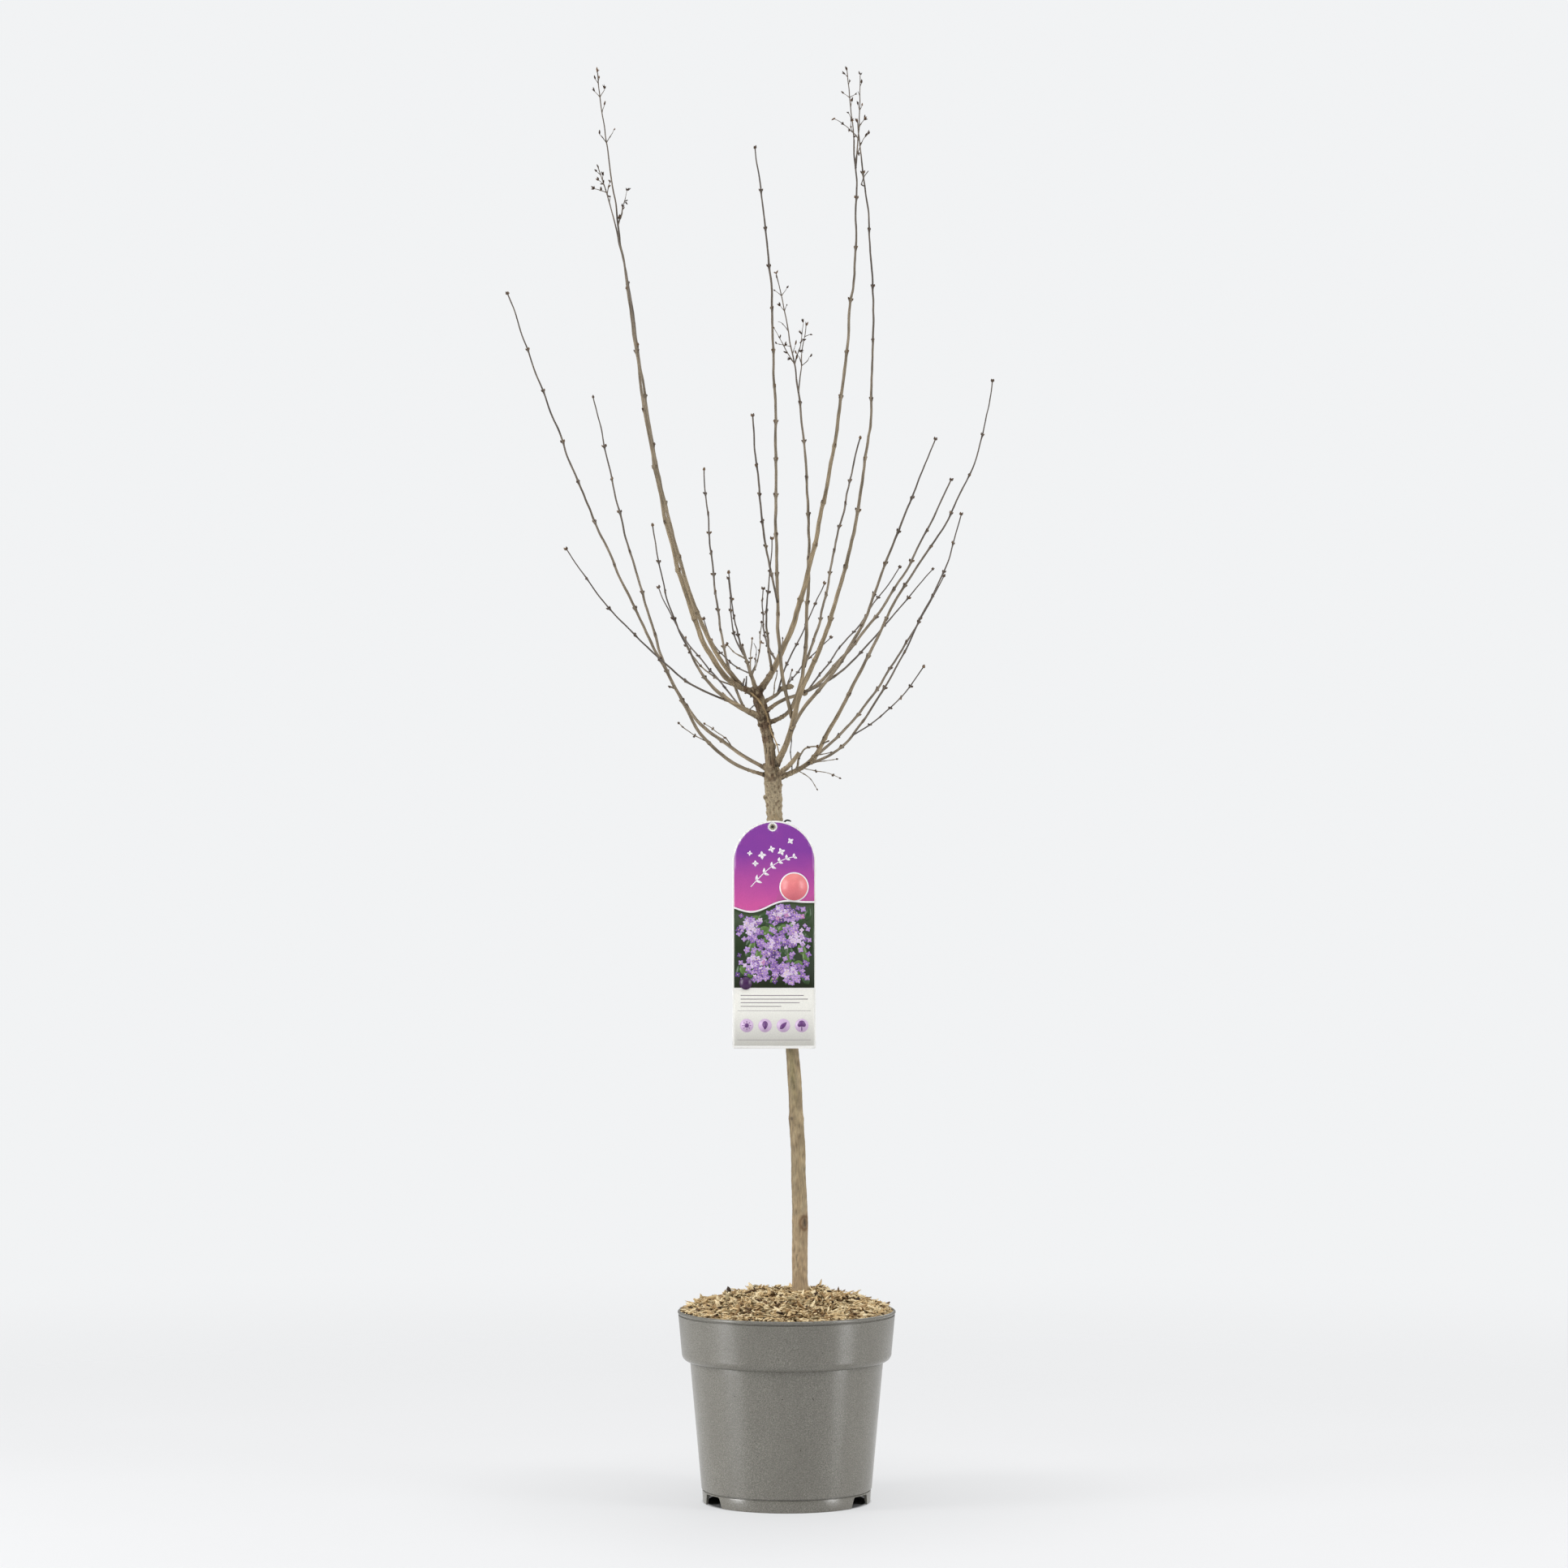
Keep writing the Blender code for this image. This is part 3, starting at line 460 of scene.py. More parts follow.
def ring_faces(rings, sides, first=0):
    """Quads between rings of `sides` vertices each."""
    a = np.arange(rings - 1)[:, None] * sides + np.arange(sides)[None, :]
    b = np.arange(rings - 1)[:, None] * sides + (np.arange(sides)[None, :] + 1) % sides
    return (np.stack([a, b, b + sides, a + sides], -1).reshape(-1, 4) + first).astype(np.int32)


def turn_frames(points):
    """Directions along, to the side and over a path, carried without twist."""
    along = np.gradient(points, axis=0)
    along /= np.linalg.norm(along, axis=1)[:, None]
    side = np.cross(along[0], (0.0, 1.0, 0.0))
    if np.linalg.norm(side) < 0.2:
        side = np.cross(along[0], (1.0, 0.0, 0.0))
    sides = np.empty_like(points)
    for i, a in enumerate(along):
        side = side - a * (side @ a)
        side = side / np.linalg.norm(side)
        sides[i] = side
    return along, sides, np.cross(along, sides)


def tube(points, radii, sides, closed_tip=True):
    """A closed round tube; radii (n,) or (n, sides). Gives verts, quads, tris."""
    points = np.asarray(points, float)
    _, side, over = turn_frames(points)
    radii = np.asarray(radii, float)
    if radii.ndim == 1:
        radii = np.repeat(radii[:, None], sides, 1)
    angle = TAU * np.arange(sides) / sides
    out = (np.cos(angle)[None, :, None] * side[:, None, :]
           + np.sin(angle)[None, :, None] * over[:, None, :])
    verts = points[:, None, :] + radii[:, :, None] * out
    n = len(points)
    quads = ring_faces(n, sides)
    verts = verts.reshape(-1, 3)
    low, high = len(verts), len(verts) + 1
    k = np.arange(sides)
    j = (k + 1) % sides
    tris = np.concatenate([
        np.stack([np.full(sides, low), j, k], -1),
        np.stack([np.full(sides, high), (n - 1) * sides + k, (n - 1) * sides + j], -1)])
    verts = np.concatenate([verts, points[:1], points[-1:]])
    return verts, quads, tris


def in_space(x, z, depth):
    """The point that shows at (x, z) in front elevation, set back by depth."""
    k = 1.0 + depth / EYE_DISTANCE
    return Vector((EYE_X + (x - EYE_X) * k, depth, EYE_HEIGHT + (z - EYE_HEIGHT) * k))


def in_elevation(p):
    k = 1.0 + p[1] / EYE_DISTANCE
    return (EYE_X + (p[0] - EYE_X) / k, EYE_HEIGHT + (p[2] - EYE_HEIGHT) / k)


def spline(knots, values):
    """Smooth curve through `values` at `knots`, which turns no further than
    the chords on each side of a knot do."""
    knots = np.asarray(knots, float)
    values = np.asarray(values, float)
    h = np.diff(knots)
    chord = np.diff(values, axis=0) / h[:, None]
    slope = np.empty_like(values)
    for i in range(1, len(knots) - 1):
        slope[i] = (chord[i - 1] * h[i] + chord[i] * h[i - 1]) / (h[i - 1] + h[i])
    slope[0] = 1.5 * chord[0] - 0.5 * slope[1] if len(knots) > 2 else chord[0]
    slope[-1] = 1.5 * chord[-1] - 0.5 * slope[-2] if len(knots) > 2 else chord[0]

    def at(t):
        t = np.atleast_1d(np.asarray(t, float))
        i = np.clip(np.searchsorted(knots, t) - 1, 0, len(h) - 1)
        u = ((t - knots[i]) / h[i])[:, None]
        hi = h[i][:, None]
        return ((1 + 2 * u) * (1 - u) ** 2 * values[i] + u * (1 - u) ** 2 * hi * slope[i]
                + u * u * (3 - 2 * u) * values[i + 1] - u * u * (1 - u) * hi * slope[i + 1])
    return at


class Limb:
    """The same path as the solid's, with a radius, over the length s in mm."""

    FINE = 240

    def __init__(self, path, radius):
        t = np.linspace(0.0, 1.0, self.FINE + 1)
        self.points = path(t)
        self.length = float(np.linalg.norm(np.diff(self.points, axis=0), axis=1).sum())
        dense = np.linspace(0.0, 1.0, 961)
        xyz = path(dense)
        self.run = np.concatenate([[0.0], np.cumsum(np.linalg.norm(np.diff(xyz, axis=0), axis=1))])
        self.xyz, self.radii = xyz, radius(dense)

    def nearest(self, x, z):
        e = in_elevation(self.points.T)
        return self.points[int(np.argmin((e[0] - x) ** 2 + (e[1] - z) ** 2))]

    def at(self, s):
        return np.stack([np.interp(s, self.run, self.xyz[:, k]) for k in range(3)], -1)

    def radius_at(self, s):
        return np.interp(s, self.run, self.radii)

    def s_near(self, x, z):
        e = in_elevation(self.xyz.T)
        return float(self.run[int(np.argmin((e[0] - x) ** 2 + (e[1] - z) ** 2))])

    def s_at_height(self, z):
        e = in_elevation(self.xyz.T)
        return float(self.run[int(np.argmin(np.abs(e[1] - z)))])


def stem_limb():
    heights = [s[0] for s in STEM]
    knots = [(z - heights[0]) / (heights[-1] - heights[0]) for z in heights]
    centre = spline(knots, [(s[1], s[2], s[0]) for s in STEM])
    radii = [s[3] for s in STEM]
    return Limb(centre, lambda t: np.interp(t, knots, radii))


def side_limb(parent, foot, guides, depth, thick, thin, power):
    start = parent.nearest(*foot)
    flat = [in_elevation(start)] + list(guides)
    runs = [0.0]
    for (ax, az), (bx, bz) in zip(flat, flat[1:]):
        runs.append(runs[-1] + math.hypot(bx - ax, bz - az))
    across = spline([r / runs[-1] for r in runs], flat)
    start_depth = start[1]

    def path(t):
        xz = across(t)
        back = start_depth + (depth - start_depth) * (1.0 - (1.0 - t) ** 1.6)
        k = 1.0 + back / EYE_DISTANCE
        return np.stack([EYE_X + (xz[:, 0] - EYE_X) * k, back,
                         EYE_HEIGHT + (xz[:, 1] - EYE_HEIGHT) * k], -1)
    return Limb(path, lambda t: (thin + (thick - thin) * (1.0 - t) ** power) / 2.0)


# ------------------------------------------------------------------- materials
class Look:
    """A procedural material, put together node by node."""

    def __init__(self, name, roughness=0.6, specular=0.4):
        self.mat = bpy.data.materials.new(name)
        self.mat.use_nodes = True
        self.tree = self.mat.node_tree
        self.shader = self.tree.nodes["Principled BSDF"]
        self.shader.inputs["Roughness"].default_value = roughness
        self.shader.inputs["Specular IOR Level"].default_value = specular

    def feed(self, socket, value):
        if isinstance(value, bpy.types.NodeSocket):
            self.tree.links.new(value, socket)
        else:
            socket.default_value = value

    def put(self, kind, inputs=(), **settings):
        node = self.tree.nodes.new(kind)
        for key, value in settings.items():
            setattr(node, key, value)
        for key, value in dict(inputs).items():
            self.feed(node.inputs[key], value)
        return node

    def place(self):
        return self.put("ShaderNodeTexCoord").outputs["Object"]

    def named(self, attribute, output="Vector"):
        return self.put("ShaderNodeAttribute", attribute_name=attribute).outputs[output]

    def scaled(self, vector, x, y, z):
        return self.put("ShaderNodeVectorMath", {0: vector, 1: (x, y, z)},
                        operation="MULTIPLY").outputs["Vector"]

    def noise(self, vector, scale, detail=3.0, rough=0.55, bend=0.0):
        return self.put("ShaderNodeTexNoise", {"Vector": vector, "Scale": scale, "Detail": detail,
                                               "Roughness": rough, "Distortion": bend}).outputs[0]

    def ramp(self, value, stops):
        node = self.put("ShaderNodeValToRGB", {0: value})
        edge = node.color_ramp.elements
        edge[0].position, edge[1].position = stops[0][0], stops[-1][0]
        edge[0].color, edge[1].color = stops[0][1], stops[-1][1]
        for position, colour in stops[1:-1]:
            edge.new(position).color = colour
        return node.outputs["Color"]

    def span(self, value, low, high, to_low=0.0, to_high=1.0):
        return self.put("ShaderNodeMapRange", {0: value, 1: low, 2: high, 3: to_low, 4: to_high},
                        clamp=True).outputs[0]

    def mix(self, fac, a, b, blend="MIX"):
        node = self.put("ShaderNodeMix", data_type="RGBA", blend_type=blend)
        self.feed(node.inputs[0], fac)
        self.feed(node.inputs[6], a)
        self.feed(node.inputs[7], b)
        return node.outputs[2]

    def sums(self, kind, a, b=0.0):
        return self.put("ShaderNodeMath", {0: a, 1: b}, operation=kind).outputs[0]

    def relief(self, height, strength, millimetres, under=None):
        inputs = {"Height": height, "Strength": strength, "Distance": millimetres * MM}
        if under is not None:
            inputs["Normal"] = under
        return self.put("ShaderNodeBump", inputs).outputs["Normal"]

    def finish(self, colour, normal=None, roughness=None):
        self.feed(self.shader.inputs["Base Color"], colour)
        if normal is not None:
            self.feed(self.shader.inputs["Normal"], normal)
        if roughness is not None:
            self.feed(self.shader.inputs["Roughness"], roughness)
        return self.mat


def grey(v):
    return (v, v, v, 1.0)


def pot_plastic():
    """Satin grey plastic, finely speckled, with flow marks and scuffs."""
    look = Look("pot_plastic", 0.25, 0.5)
    at = look.place()
    fleck = look.noise(at, 1050.0, 2.0, 0.7)
    fine = look.ramp(fleck, ((0.34, linear(89, 87, 80)), (0.5, linear(106, 104, 97)),
                             (0.66, linear(128, 125, 117))))
    cloud = look.noise(look.scaled(at, 1.0, 1.0, 0.45), 42.0, 4.0, 0.6)
    colour = look.mix(look.span(cloud, 0.35, 0.68, 0.0, 0.38), fine, linear(96, 93, 86))
    dust = look.noise(look.scaled(at, 1.0, 1.0, 0.25), 95.0, 5.0, 0.65)
    colour = look.mix(look.span(dust, 0.62, 0.8, 0.0, 0.3), colour, linear(121, 117, 109))
    dirt = look.noise(at, 330.0, 2.0, 0.5)
    colour = look.mix(look.span(dirt, 0.735, 0.77, 0.0, 0.85), colour, linear(42, 37, 32))
    grain = look.relief(fleck, 0.30, 0.07)
    swell = look.relief(look.noise(look.scaled(at, 1.0, 1.0, 0.3), 55.0, 2.0), 0.16, 0.8, grain)
    return look.finish(colour, swell, look.span(cloud, 0.3, 0.7, 0.21, 0.27))


def mound_soil():
    look = Look("bark_litter", 0.9, 0.2)
    at = look.place()
    n = look.noise(at, 260.0, 4.0, 0.7)
    colour = look.ramp(n, ((0.30, linear(58, 43, 31)), (0.46, linear(104, 79, 54)),
                           (0.6, linear(154, 122, 86)), (0.74, linear(196, 166, 126))))
    return look.finish(colour, look.relief(n, 0.8, 1.6))


def chip_wood(name, deep, mid, pale):
    """A sliver of wood or bark, streaked along its own grain."""
    look = Look(name, 0.78, 0.25)
    at = look.named("run")
    streak = look.noise(look.scaled(at, 0.25, 1.6, 1.6), 1.5, 4.0, 0.65)
    patch = look.noise(look.place(), 150.0, 2.0, 0.5)
    colour = look.ramp(look.sums("ADD", look.sums("MULTIPLY", streak, 0.62),
                                 look.sums("MULTIPLY", patch, 0.38)),
                       ((0.36, deep), (0.5, mid), (0.64, pale)))
    return look.finish(colour, look.relief(streak, 0.6, 0.35))


def bark(name, rough, crack=0.5, depth=1.0):
    """Bark: the tone comes with the mesh, the grain runs along the limb."""
    look = Look(name, rough, 0.28)
    run = look.named("run")
    tone = look.named("tone", "Color")
    long_grain = look.noise(look.scaled(run, 1.0, 1.0, 0.05), 1.7, 4.0, 0.55)
    speck = look.noise(look.scaled(run, 1.0, 1.0, 0.35), 2.4, 3.0, 0.6)
    colour = look.mix(1.0, tone, look.ramp(long_grain, (
        (0.32, grey(1.0 - 0.38 * depth)), (0.47, grey(1.0 - 0.08 * depth)),
        (0.6, grey(1.0 + 0.08 * depth)), (0.72, grey(1.0 + 0.28 * depth)))), "MULTIPLY")
    colour = look.mix(look.span(speck, 0.63, 0.72, 0.0, crack), colour, linear(70, 54, 40))
    colour = look.mix(look.span(look.noise(look.scaled(run, 1.0, 1.0, 0.12), 0.55, 3.0, 0.6),
                                0.58, 0.74, 0.0, 0.4), colour,
                      linear(148, 136, 112))
    normal = look.relief(long_grain, 0.7, 0.35)
    normal = look.relief(speck, 0.35, 0.16, normal)
    return look.finish(colour, normal)


def bud_scales(name, deep, pale):
    look = Look(name, 0.42, 0.45)
    run = look.named("run")
    n = look.noise(look.scaled(run, 1.0, 1.0, 0.6), 2.2, 3.0, 0.6)
    colour = look.ramp(n, ((0.34, deep), (0.68, pale)))
    return look.finish(colour, look.relief(n, 0.4, 0.15))


def pod_skin(name, deep, pale):
    look = Look(name, 0.55, 0.35)
    run = look.named("run")
    n = look.noise(look.scaled(run, 1.0, 1.0, 0.3), 1.5, 4.0, 0.65)
    colour = look.ramp(n, ((0.32, deep), (0.7, pale)))
    return look.finish(colour, look.relief(n, 0.7, 0.25))


def card_stock(name, low, high=None, z_low=0.0, z_high=1.0, rough=0.34, weave=0.5):
    """Printed card: a tint that may run from low to high, with paper fibre."""
    look = Look(name, rough, 0.45)
    at = look.place()
    fibre = look.noise(at, 900.0, 3.0, 0.6)
    if high is None:
        colour = low
    else:
        z = look.put("ShaderNodeSeparateXYZ", {0: at}).outputs[2]
        cloud = look.noise(at, 38.0, 2.0)
        place = look.sums("ADD", look.span(z, z_low * MM, z_high * MM, 0.0, 1.0),
                          look.sums("MULTIPLY", look.sums("SUBTRACT", cloud, 0.5), 0.3))
        colour = look.ramp(place, ((0.0, low), (1.0, high)))
    colour = look.mix(look.span(fibre, 0.35, 0.7, 0.0, 0.10), colour, grey(0.02))
    smear = look.noise(look.scaled(at, 1.0, 1.0, 3.0), 60.0, 4.0, 0.7)
    colour = look.mix(look.span(smear, 0.64, 0.8, 0.0, 0.12), colour, linear(120, 104, 84))
    return look.finish(colour, look.relief(fibre, 0.18 * weave, 0.12))


def moulded(name, low, high, rough=0.42):
    look = Look(name, rough, 0.45)
    at = look.place()
    n = look.noise(at, 700.0, 3.0, 0.6)
    colour = look.ramp(n, ((0.35, low), (0.65, high)))
    return look.finish(colour, look.relief(n, 0.2, 0.12))


# -------------------------------------------------------------------- the pot
def arc(cx, cz, r, a0, a1, n):
    return [(cx + r * math.cos(math.radians(a0 + (a1 - a0) * k / n)),
             cz + r * math.sin(math.radians(a0 + (a1 - a0) * k / n))) for k in range(n + 1)]


def dense(points, step):
    out = []
    for (ax, az), (bx, bz) in zip(points, points[1:]):
        n = max(1, int(math.hypot(bx - ax, bz - az) / step))
        out += [(ax + (bx - ax) * k / n, az + (bz - az) * k / n) for k in range(n)]
    return out + [points[-1]]


def pot_profile():
    """(r, z) of the whole section: underside, foot, groove, wall, collar, lip
    bead, and down the inside."""
    w = POT_WALL
    under = ([(0.0, 0.25)] + arc(PAD_R - 1.0, 1.0, 1.0, -90, 0, 3)
             + [(PAD_R + 1.2, FOOT_HEIGHT - 0.6), (FOOT_R - FOOT_WALL - 1.0, FOOT_HEIGHT - 0.6)]
             + arc(FOOT_R - FOOT_WALL + 0.4, 0.4, 0.4, 180, 270, 2)
             + arc(FOOT_R - 1.5, 0.8, 0.8, -90, -4, 4))
    groove = [(FOOT_R - 0.08, FOOT_HEIGHT - 1.3), (FOOT_R - 0.25, FOOT_HEIGHT - 0.75),
              (FOOT_R - 1.25, FOOT_HEIGHT - 0.5), (FOOT_R - 1.25, FOOT_HEIGHT + 0.35),
              (WALL_FOOT_R - 0.45, WALL_FOOT_Z - 0.25), (WALL_FOOT_R, WALL_FOOT_Z + 0.3)]
    shoulder_z = COLLAR_FOOT_Z - COLLAR_ROUND - 0.6
    wall = [(WALL_FOOT_R, WALL_FOOT_Z + 0.3), (SHOULDER_R - 0.1, shoulder_z - 1.2),
            (SHOULDER_R - 0.1, shoulder_z + 0.2)]
    collar = arc(COLLAR_FOOT_R - COLLAR_ROUND, COLLAR_FOOT_Z, COLLAR_ROUND, -88, -6, 9)
    slope = (RIM_R - COLLAR_FOOT_R) / (POT_HEIGHT - COLLAR_FOOT_Z)
    band = [(COLLAR_FOOT_R, COLLAR_FOOT_Z + 0.4),
            (COLLAR_FOOT_R + slope * (POT_HEIGHT - 4.6 - COLLAR_FOOT_Z), POT_HEIGHT - 4.6)]
    lip_r = RIM_R - 1.0
    lip = ([(lip_r - 0.55, POT_HEIGHT - 4.3), (lip_r - 0.5, POT_HEIGHT - 3.7)]
           + arc(lip_r - 0.5, POT_HEIGHT - 1.75, 1.75, -62, 100, 10))
    inner = [(RIM_R - w - 1.6, POT_HEIGHT - 2.0), (COLLAR_FOOT_R - w, COLLAR_FOOT_Z + 1.0),
             (COLLAR_FOOT_R - w - 2.6, COLLAR_FOOT_Z - COLLAR_ROUND + 3.4),
             (SHOULDER_R - w, COLLAR_FOOT_Z - COLLAR_ROUND + 0.9),
             (WALL_FOOT_R - w, FLOOR_TOP), (0.0, FLOOR_TOP)]
    return (under + groove + dense(wall, 7.0)[1:] + collar + dense(band, 7.0) + lip
            + dense(inner, 12.0))


def lathe_mesh(name, profile, sides):
    bm = bmesh.new()
    rings = []
    for r, z in profile:
        if r < 1e-6:
            rings.append([bm.verts.new((0.0, 0.0, z * MM))])
        else:
            rings.append([bm.verts.new((r * MM * math.cos(TAU * k / sides),
                                        r * MM * math.sin(TAU * k / sides), z * MM))
                          for k in range(sides)])
    for low, high in zip(rings, rings[1:]):
        for k in range(sides):
            j = (k + 1) % sides
            corners = []
            for v in (low[k % len(low)], low[j % len(low)], high[j % len(high)], high[k % len(high)]):
                if v not in corners:
                    corners.append(v)
            bm.faces.new(corners)
    bmesh.ops.recalc_face_normals(bm, faces=bm.faces[:])
    if bm.calc_volume(signed=True) < 0.0:
        bmesh.ops.reverse_faces(bm, faces=bm.faces[:])
    me = bpy.data.meshes.new(name)
    bm.to_mesh(me)
    bm.free()
    return me


def baked(obj):
    """The object's mesh with its modifiers applied; the object goes."""
    bpy.context.view_layer.update()
    me = bpy.data.meshes.new_from_object(obj.evaluated_get(bpy.context.evaluated_depsgraph_get()))
    bpy.data.objects.remove(obj, do_unlink=True)
    return me


def cut_pot():
    """Three notches with slanted sides and rounded tops, three drain holes."""
    pot = bpy.data.objects.new("pot_blank", lathe_mesh("pot_blank", pot_profile(), 240))
    bpy.context.scene.collection.objects.link(pot)
    bm = bmesh.new()
    for azimuth in NOTCHES:
        turn = Matrix.Rotation(math.radians(azimuth), 4, "Z")
        low = FOOT_R * math.sin(math.radians(NOTCH_HALF_FLOOR / 1.5))
        top = FOOT_R * math.sin(math.radians(NOTCH_HALF_TOP / 1.5))
        r = 2.2
        outline = [(-low - 0.8, -3.0), (low + 0.8, -3.0)]
        outline += [(top - r + r * math.cos(math.radians(a)), NOTCH_TOP - r + r * math.sin(math.radians(a)))
                    for a in (12, 35, 60, 90)]
        outline += [(-(top - r) - r * math.cos(math.radians(a)), NOTCH_TOP - r + r * math.sin(math.radians(a)))
                    for a in (90, 60, 35, 12)]
        near = [bm.verts.new(turn @ (Vector((FOOT_R - 9.0, s, z)) * MM)) for s, z in outline]
        far = [bm.verts.new(turn @ (Vector((FOOT_R + 9.0, s, z)) * MM)) for s, z in outline]
        bm.faces.new(near)
        bm.faces.new(far)
        for k in range(len(outline)):
            j = (k + 1) % len(outline)
            bm.faces.new((near[k], near[j], far[j], far[k]))
        hole = bmesh.ops.create_cone(bm, cap_ends=True, segments=32, radius1=DRAIN_R * MM,
                                     radius2=DRAIN_R * MM, depth=12 * MM)
        bmesh.ops.transform(bm, matrix=turn @ Matrix.Translation((DRAIN_RING * MM, 0, FLOOR_TOP * MM)),
                            verts=hole["verts"])
    bmesh.ops.recalc_face_normals(bm, faces=bm.faces[:])
    me = bpy.data.meshes.new("pot_cutter")
    bm.to_mesh(me)
    bm.free()
    tool = bpy.data.objects.new("pot_cutter", me)
    bpy.context.scene.collection.objects.link(tool)
    mod = pot.modifiers.new("cut", "BOOLEAN")
    mod.operation, mod.solver, mod.object = "DIFFERENCE", "EXACT", tool
    mesh = baked(pot)
    bpy.data.objects.remove(tool, do_unlink=True)
    mesh.shade_smooth()
    mesh.set_sharp_from_angle(angle=math.radians(34))
    mesh.name = "pot_shell"
    return mesh


# ------------------------------------------------------------------ the mulch
def mound_height(x, y):
    r = np.hypot(x, y)
    z = np.interp(r, [m[0] for m in MOUND], [m[1] for m in MOUND])
    z = z + 2.4 * smooth(78.0, 98.0, r)
    p = np.stack([x, y, np.zeros_like(r)], -1)
    rise = 1.7 * Waves(21)(p, (34, 34, 34)) + 1.1 * Waves(22)(p, (13, 13, 13))
    return z + rise * smooth(104.0, 88.0, r)


def mound_mesh():
    """The top of the litter on a closed body that fills the pot's mouth."""
    rings, sides = 54, 180
    rr = np.linspace(0.0, 1.0, rings)[1:] ** 0.9 * (RIM_R - POT_WALL - 1.9)
    a = TAU * np.arange(sides) / sides
    x = rr[:, None] * np.cos(a)
    y = rr[:, None] * np.sin(a)
    z = mound_height(x.ravel(), y.ravel()).reshape(x.shape) - 1.6
    z += 0.55 * Waves(23)(np.stack([x, y, x * 0], -1).reshape(-1, 3), 4.6).reshape(x.shape)
    top = np.stack([x, y, z], -1)
    wall = []
    for r, zz in ((SHOULDER_R + 4.0, COLLAR_FOOT_Z + 4.0), (SHOULDER_R - POT_WALL - 2.6, 142.0),
                  (WALL_FOOT_R - POT_WALL - 2.0, 20.0)):
        wall.append(np.stack([r * np.cos(a), r * np.sin(a), np.full(sides, zz)], -1))
    shell = np.concatenate([top, np.array(wall)])
    quads = ring_faces(len(shell), sides)
    verts = np.concatenate([shell.reshape(-1, 3),
                            [[0.0, 0.0, float(mound_height(np.zeros(1), np.zeros(1))[0]) - 1.6]],
                            [[0.0, 0.0, 20.0]]])
    hub, base = len(verts) - 2, len(verts) - 1
    k = np.arange(sides)
    j = (k + 1) % sides
    last = (len(shell) - 1) * sides
    tris = np.concatenate([np.stack([np.full(sides, hub), k, j], -1),
                           np.stack([np.full(sides, base), last + j, last + k], -1)])
    return make_mesh("mulch_bed", verts, quads[:, ::-1], tris)


def flake_shape(rng):
    """An unevenly broken plate of bark or wood, 1 long, with worn edges."""
    n = 7
    a = np.sort(rng.uniform(0, TAU, n) * 0.25 + TAU * np.arange(n) / n * 1.0)
    wide = rng.uniform(0.2, 0.46)
    out = np.stack([0.5 * np.cos(a) * rng.uniform(0.78, 1.08, n),
                    wide * 0.5 * np.sin(a) * rng.uniform(0.7, 1.15, n)], -1)
    thick = rng.uniform(0.07, 0.15)
    bow = rng.uniform(-0.2, 0.2)
    twist = rng.uniform(-0.25, 0.25)

    def lift(p, z):
        return np.stack([p[:, 0], p[:, 1], z + bow * p[:, 0] ** 2 * 2 + twist * p[:, 0] * p[:, 1]], -1)
    top = lift(out * 0.9, thick * 0.5 + rng.uniform(-0.02, 0.02, n))
    low = lift(out, -thick * 0.5 + rng.uniform(-0.02, 0.02, n))
    verts = np.concatenate([top, low, lift(np.zeros((1, 2)), thick * 0.62),
                            lift(np.zeros((1, 2)), -thick * 0.5)])
    k = np.arange(n)
    j = (k + 1) % n
    quads = np.stack([k + n, j + n, j, k], -1)
    tris = np.concatenate([np.stack([k, j, np.full(n, 2 * n)], -1),
                           np.stack([j + n, k + n, np.full(n, 2 * n + 1)], -1)])
    return verts, quads, tris


def splinter_shape(rng):
    """A thin split sliver, 1 long, pointed at both ends."""
    ts = (-0.5, -0.32, 0.05, 0.36, 0.5)
    wide = (0.016, 0.062, 0.078, 0.052, 0.012)
    bow = rng.uniform(-0.14, 0.14)
    rings = []
    for t, w in zip(ts, wide):
        w = w * rng.uniform(0.8, 1.3)
        h = w * rng.uniform(0.35, 0.7)
        z = bow * (t * t * 4 - 0.5)
        rings += [(t, -w, z - h), (t, w, z - h * 0.8), (t, w * 0.8, z + h), (t, -w * 0.7, z + h * 1.1)]
    verts = np.array(rings)
    quads = ring_faces(5, 4)[:, ::-1]
    caps = np.array([[0, 1, 2, 3], [19, 18, 17, 16]])[:, ::-1]
    return verts, np.concatenate([quads, caps]), ()


def outward(shape):
    """Flips a shape's faces if they point inwards."""
    verts, quads, tris = shape
    faces = [(q[0], q[1], q[2]) for q in quads] + [(q[0], q[2], q[3]) for q in quads]
    faces += [tuple(t) for t in tris]
    f = np.array(faces)
    v = np.einsum("ij,ij->i", verts[f[:, 0]], np.cross(verts[f[:, 1]], verts[f[:, 2]])).sum()
    if v < 0:
        quads = np.asarray(quads)[:, ::-1] if len(quads) else quads
        tris = np.asarray(tris)[:, ::-1] if len(tris) else tris
    return verts, quads, tris


LITTER = (  # name, share, deep, mid and pale colours
    ("straw", 0.37, (186, 162, 120), (226, 206, 164), (244, 230, 198)),
    ("tan", 0.33, (158, 132, 92), (202, 175, 130), (228, 206, 164)),
    ("brown", 0.14, (106, 82, 54), (150, 121, 83), (184, 157, 116)),
    ("dark_brown", 0.06, (60, 43, 29), (92, 69, 46), (126, 99, 68)),
    ("olive_grey", 0.07, (112, 98, 72), (156, 140, 106), (190, 172, 136)),
    ("black", 0.03, (32, 24, 17), (54, 40, 29), (80, 61, 45)),
)


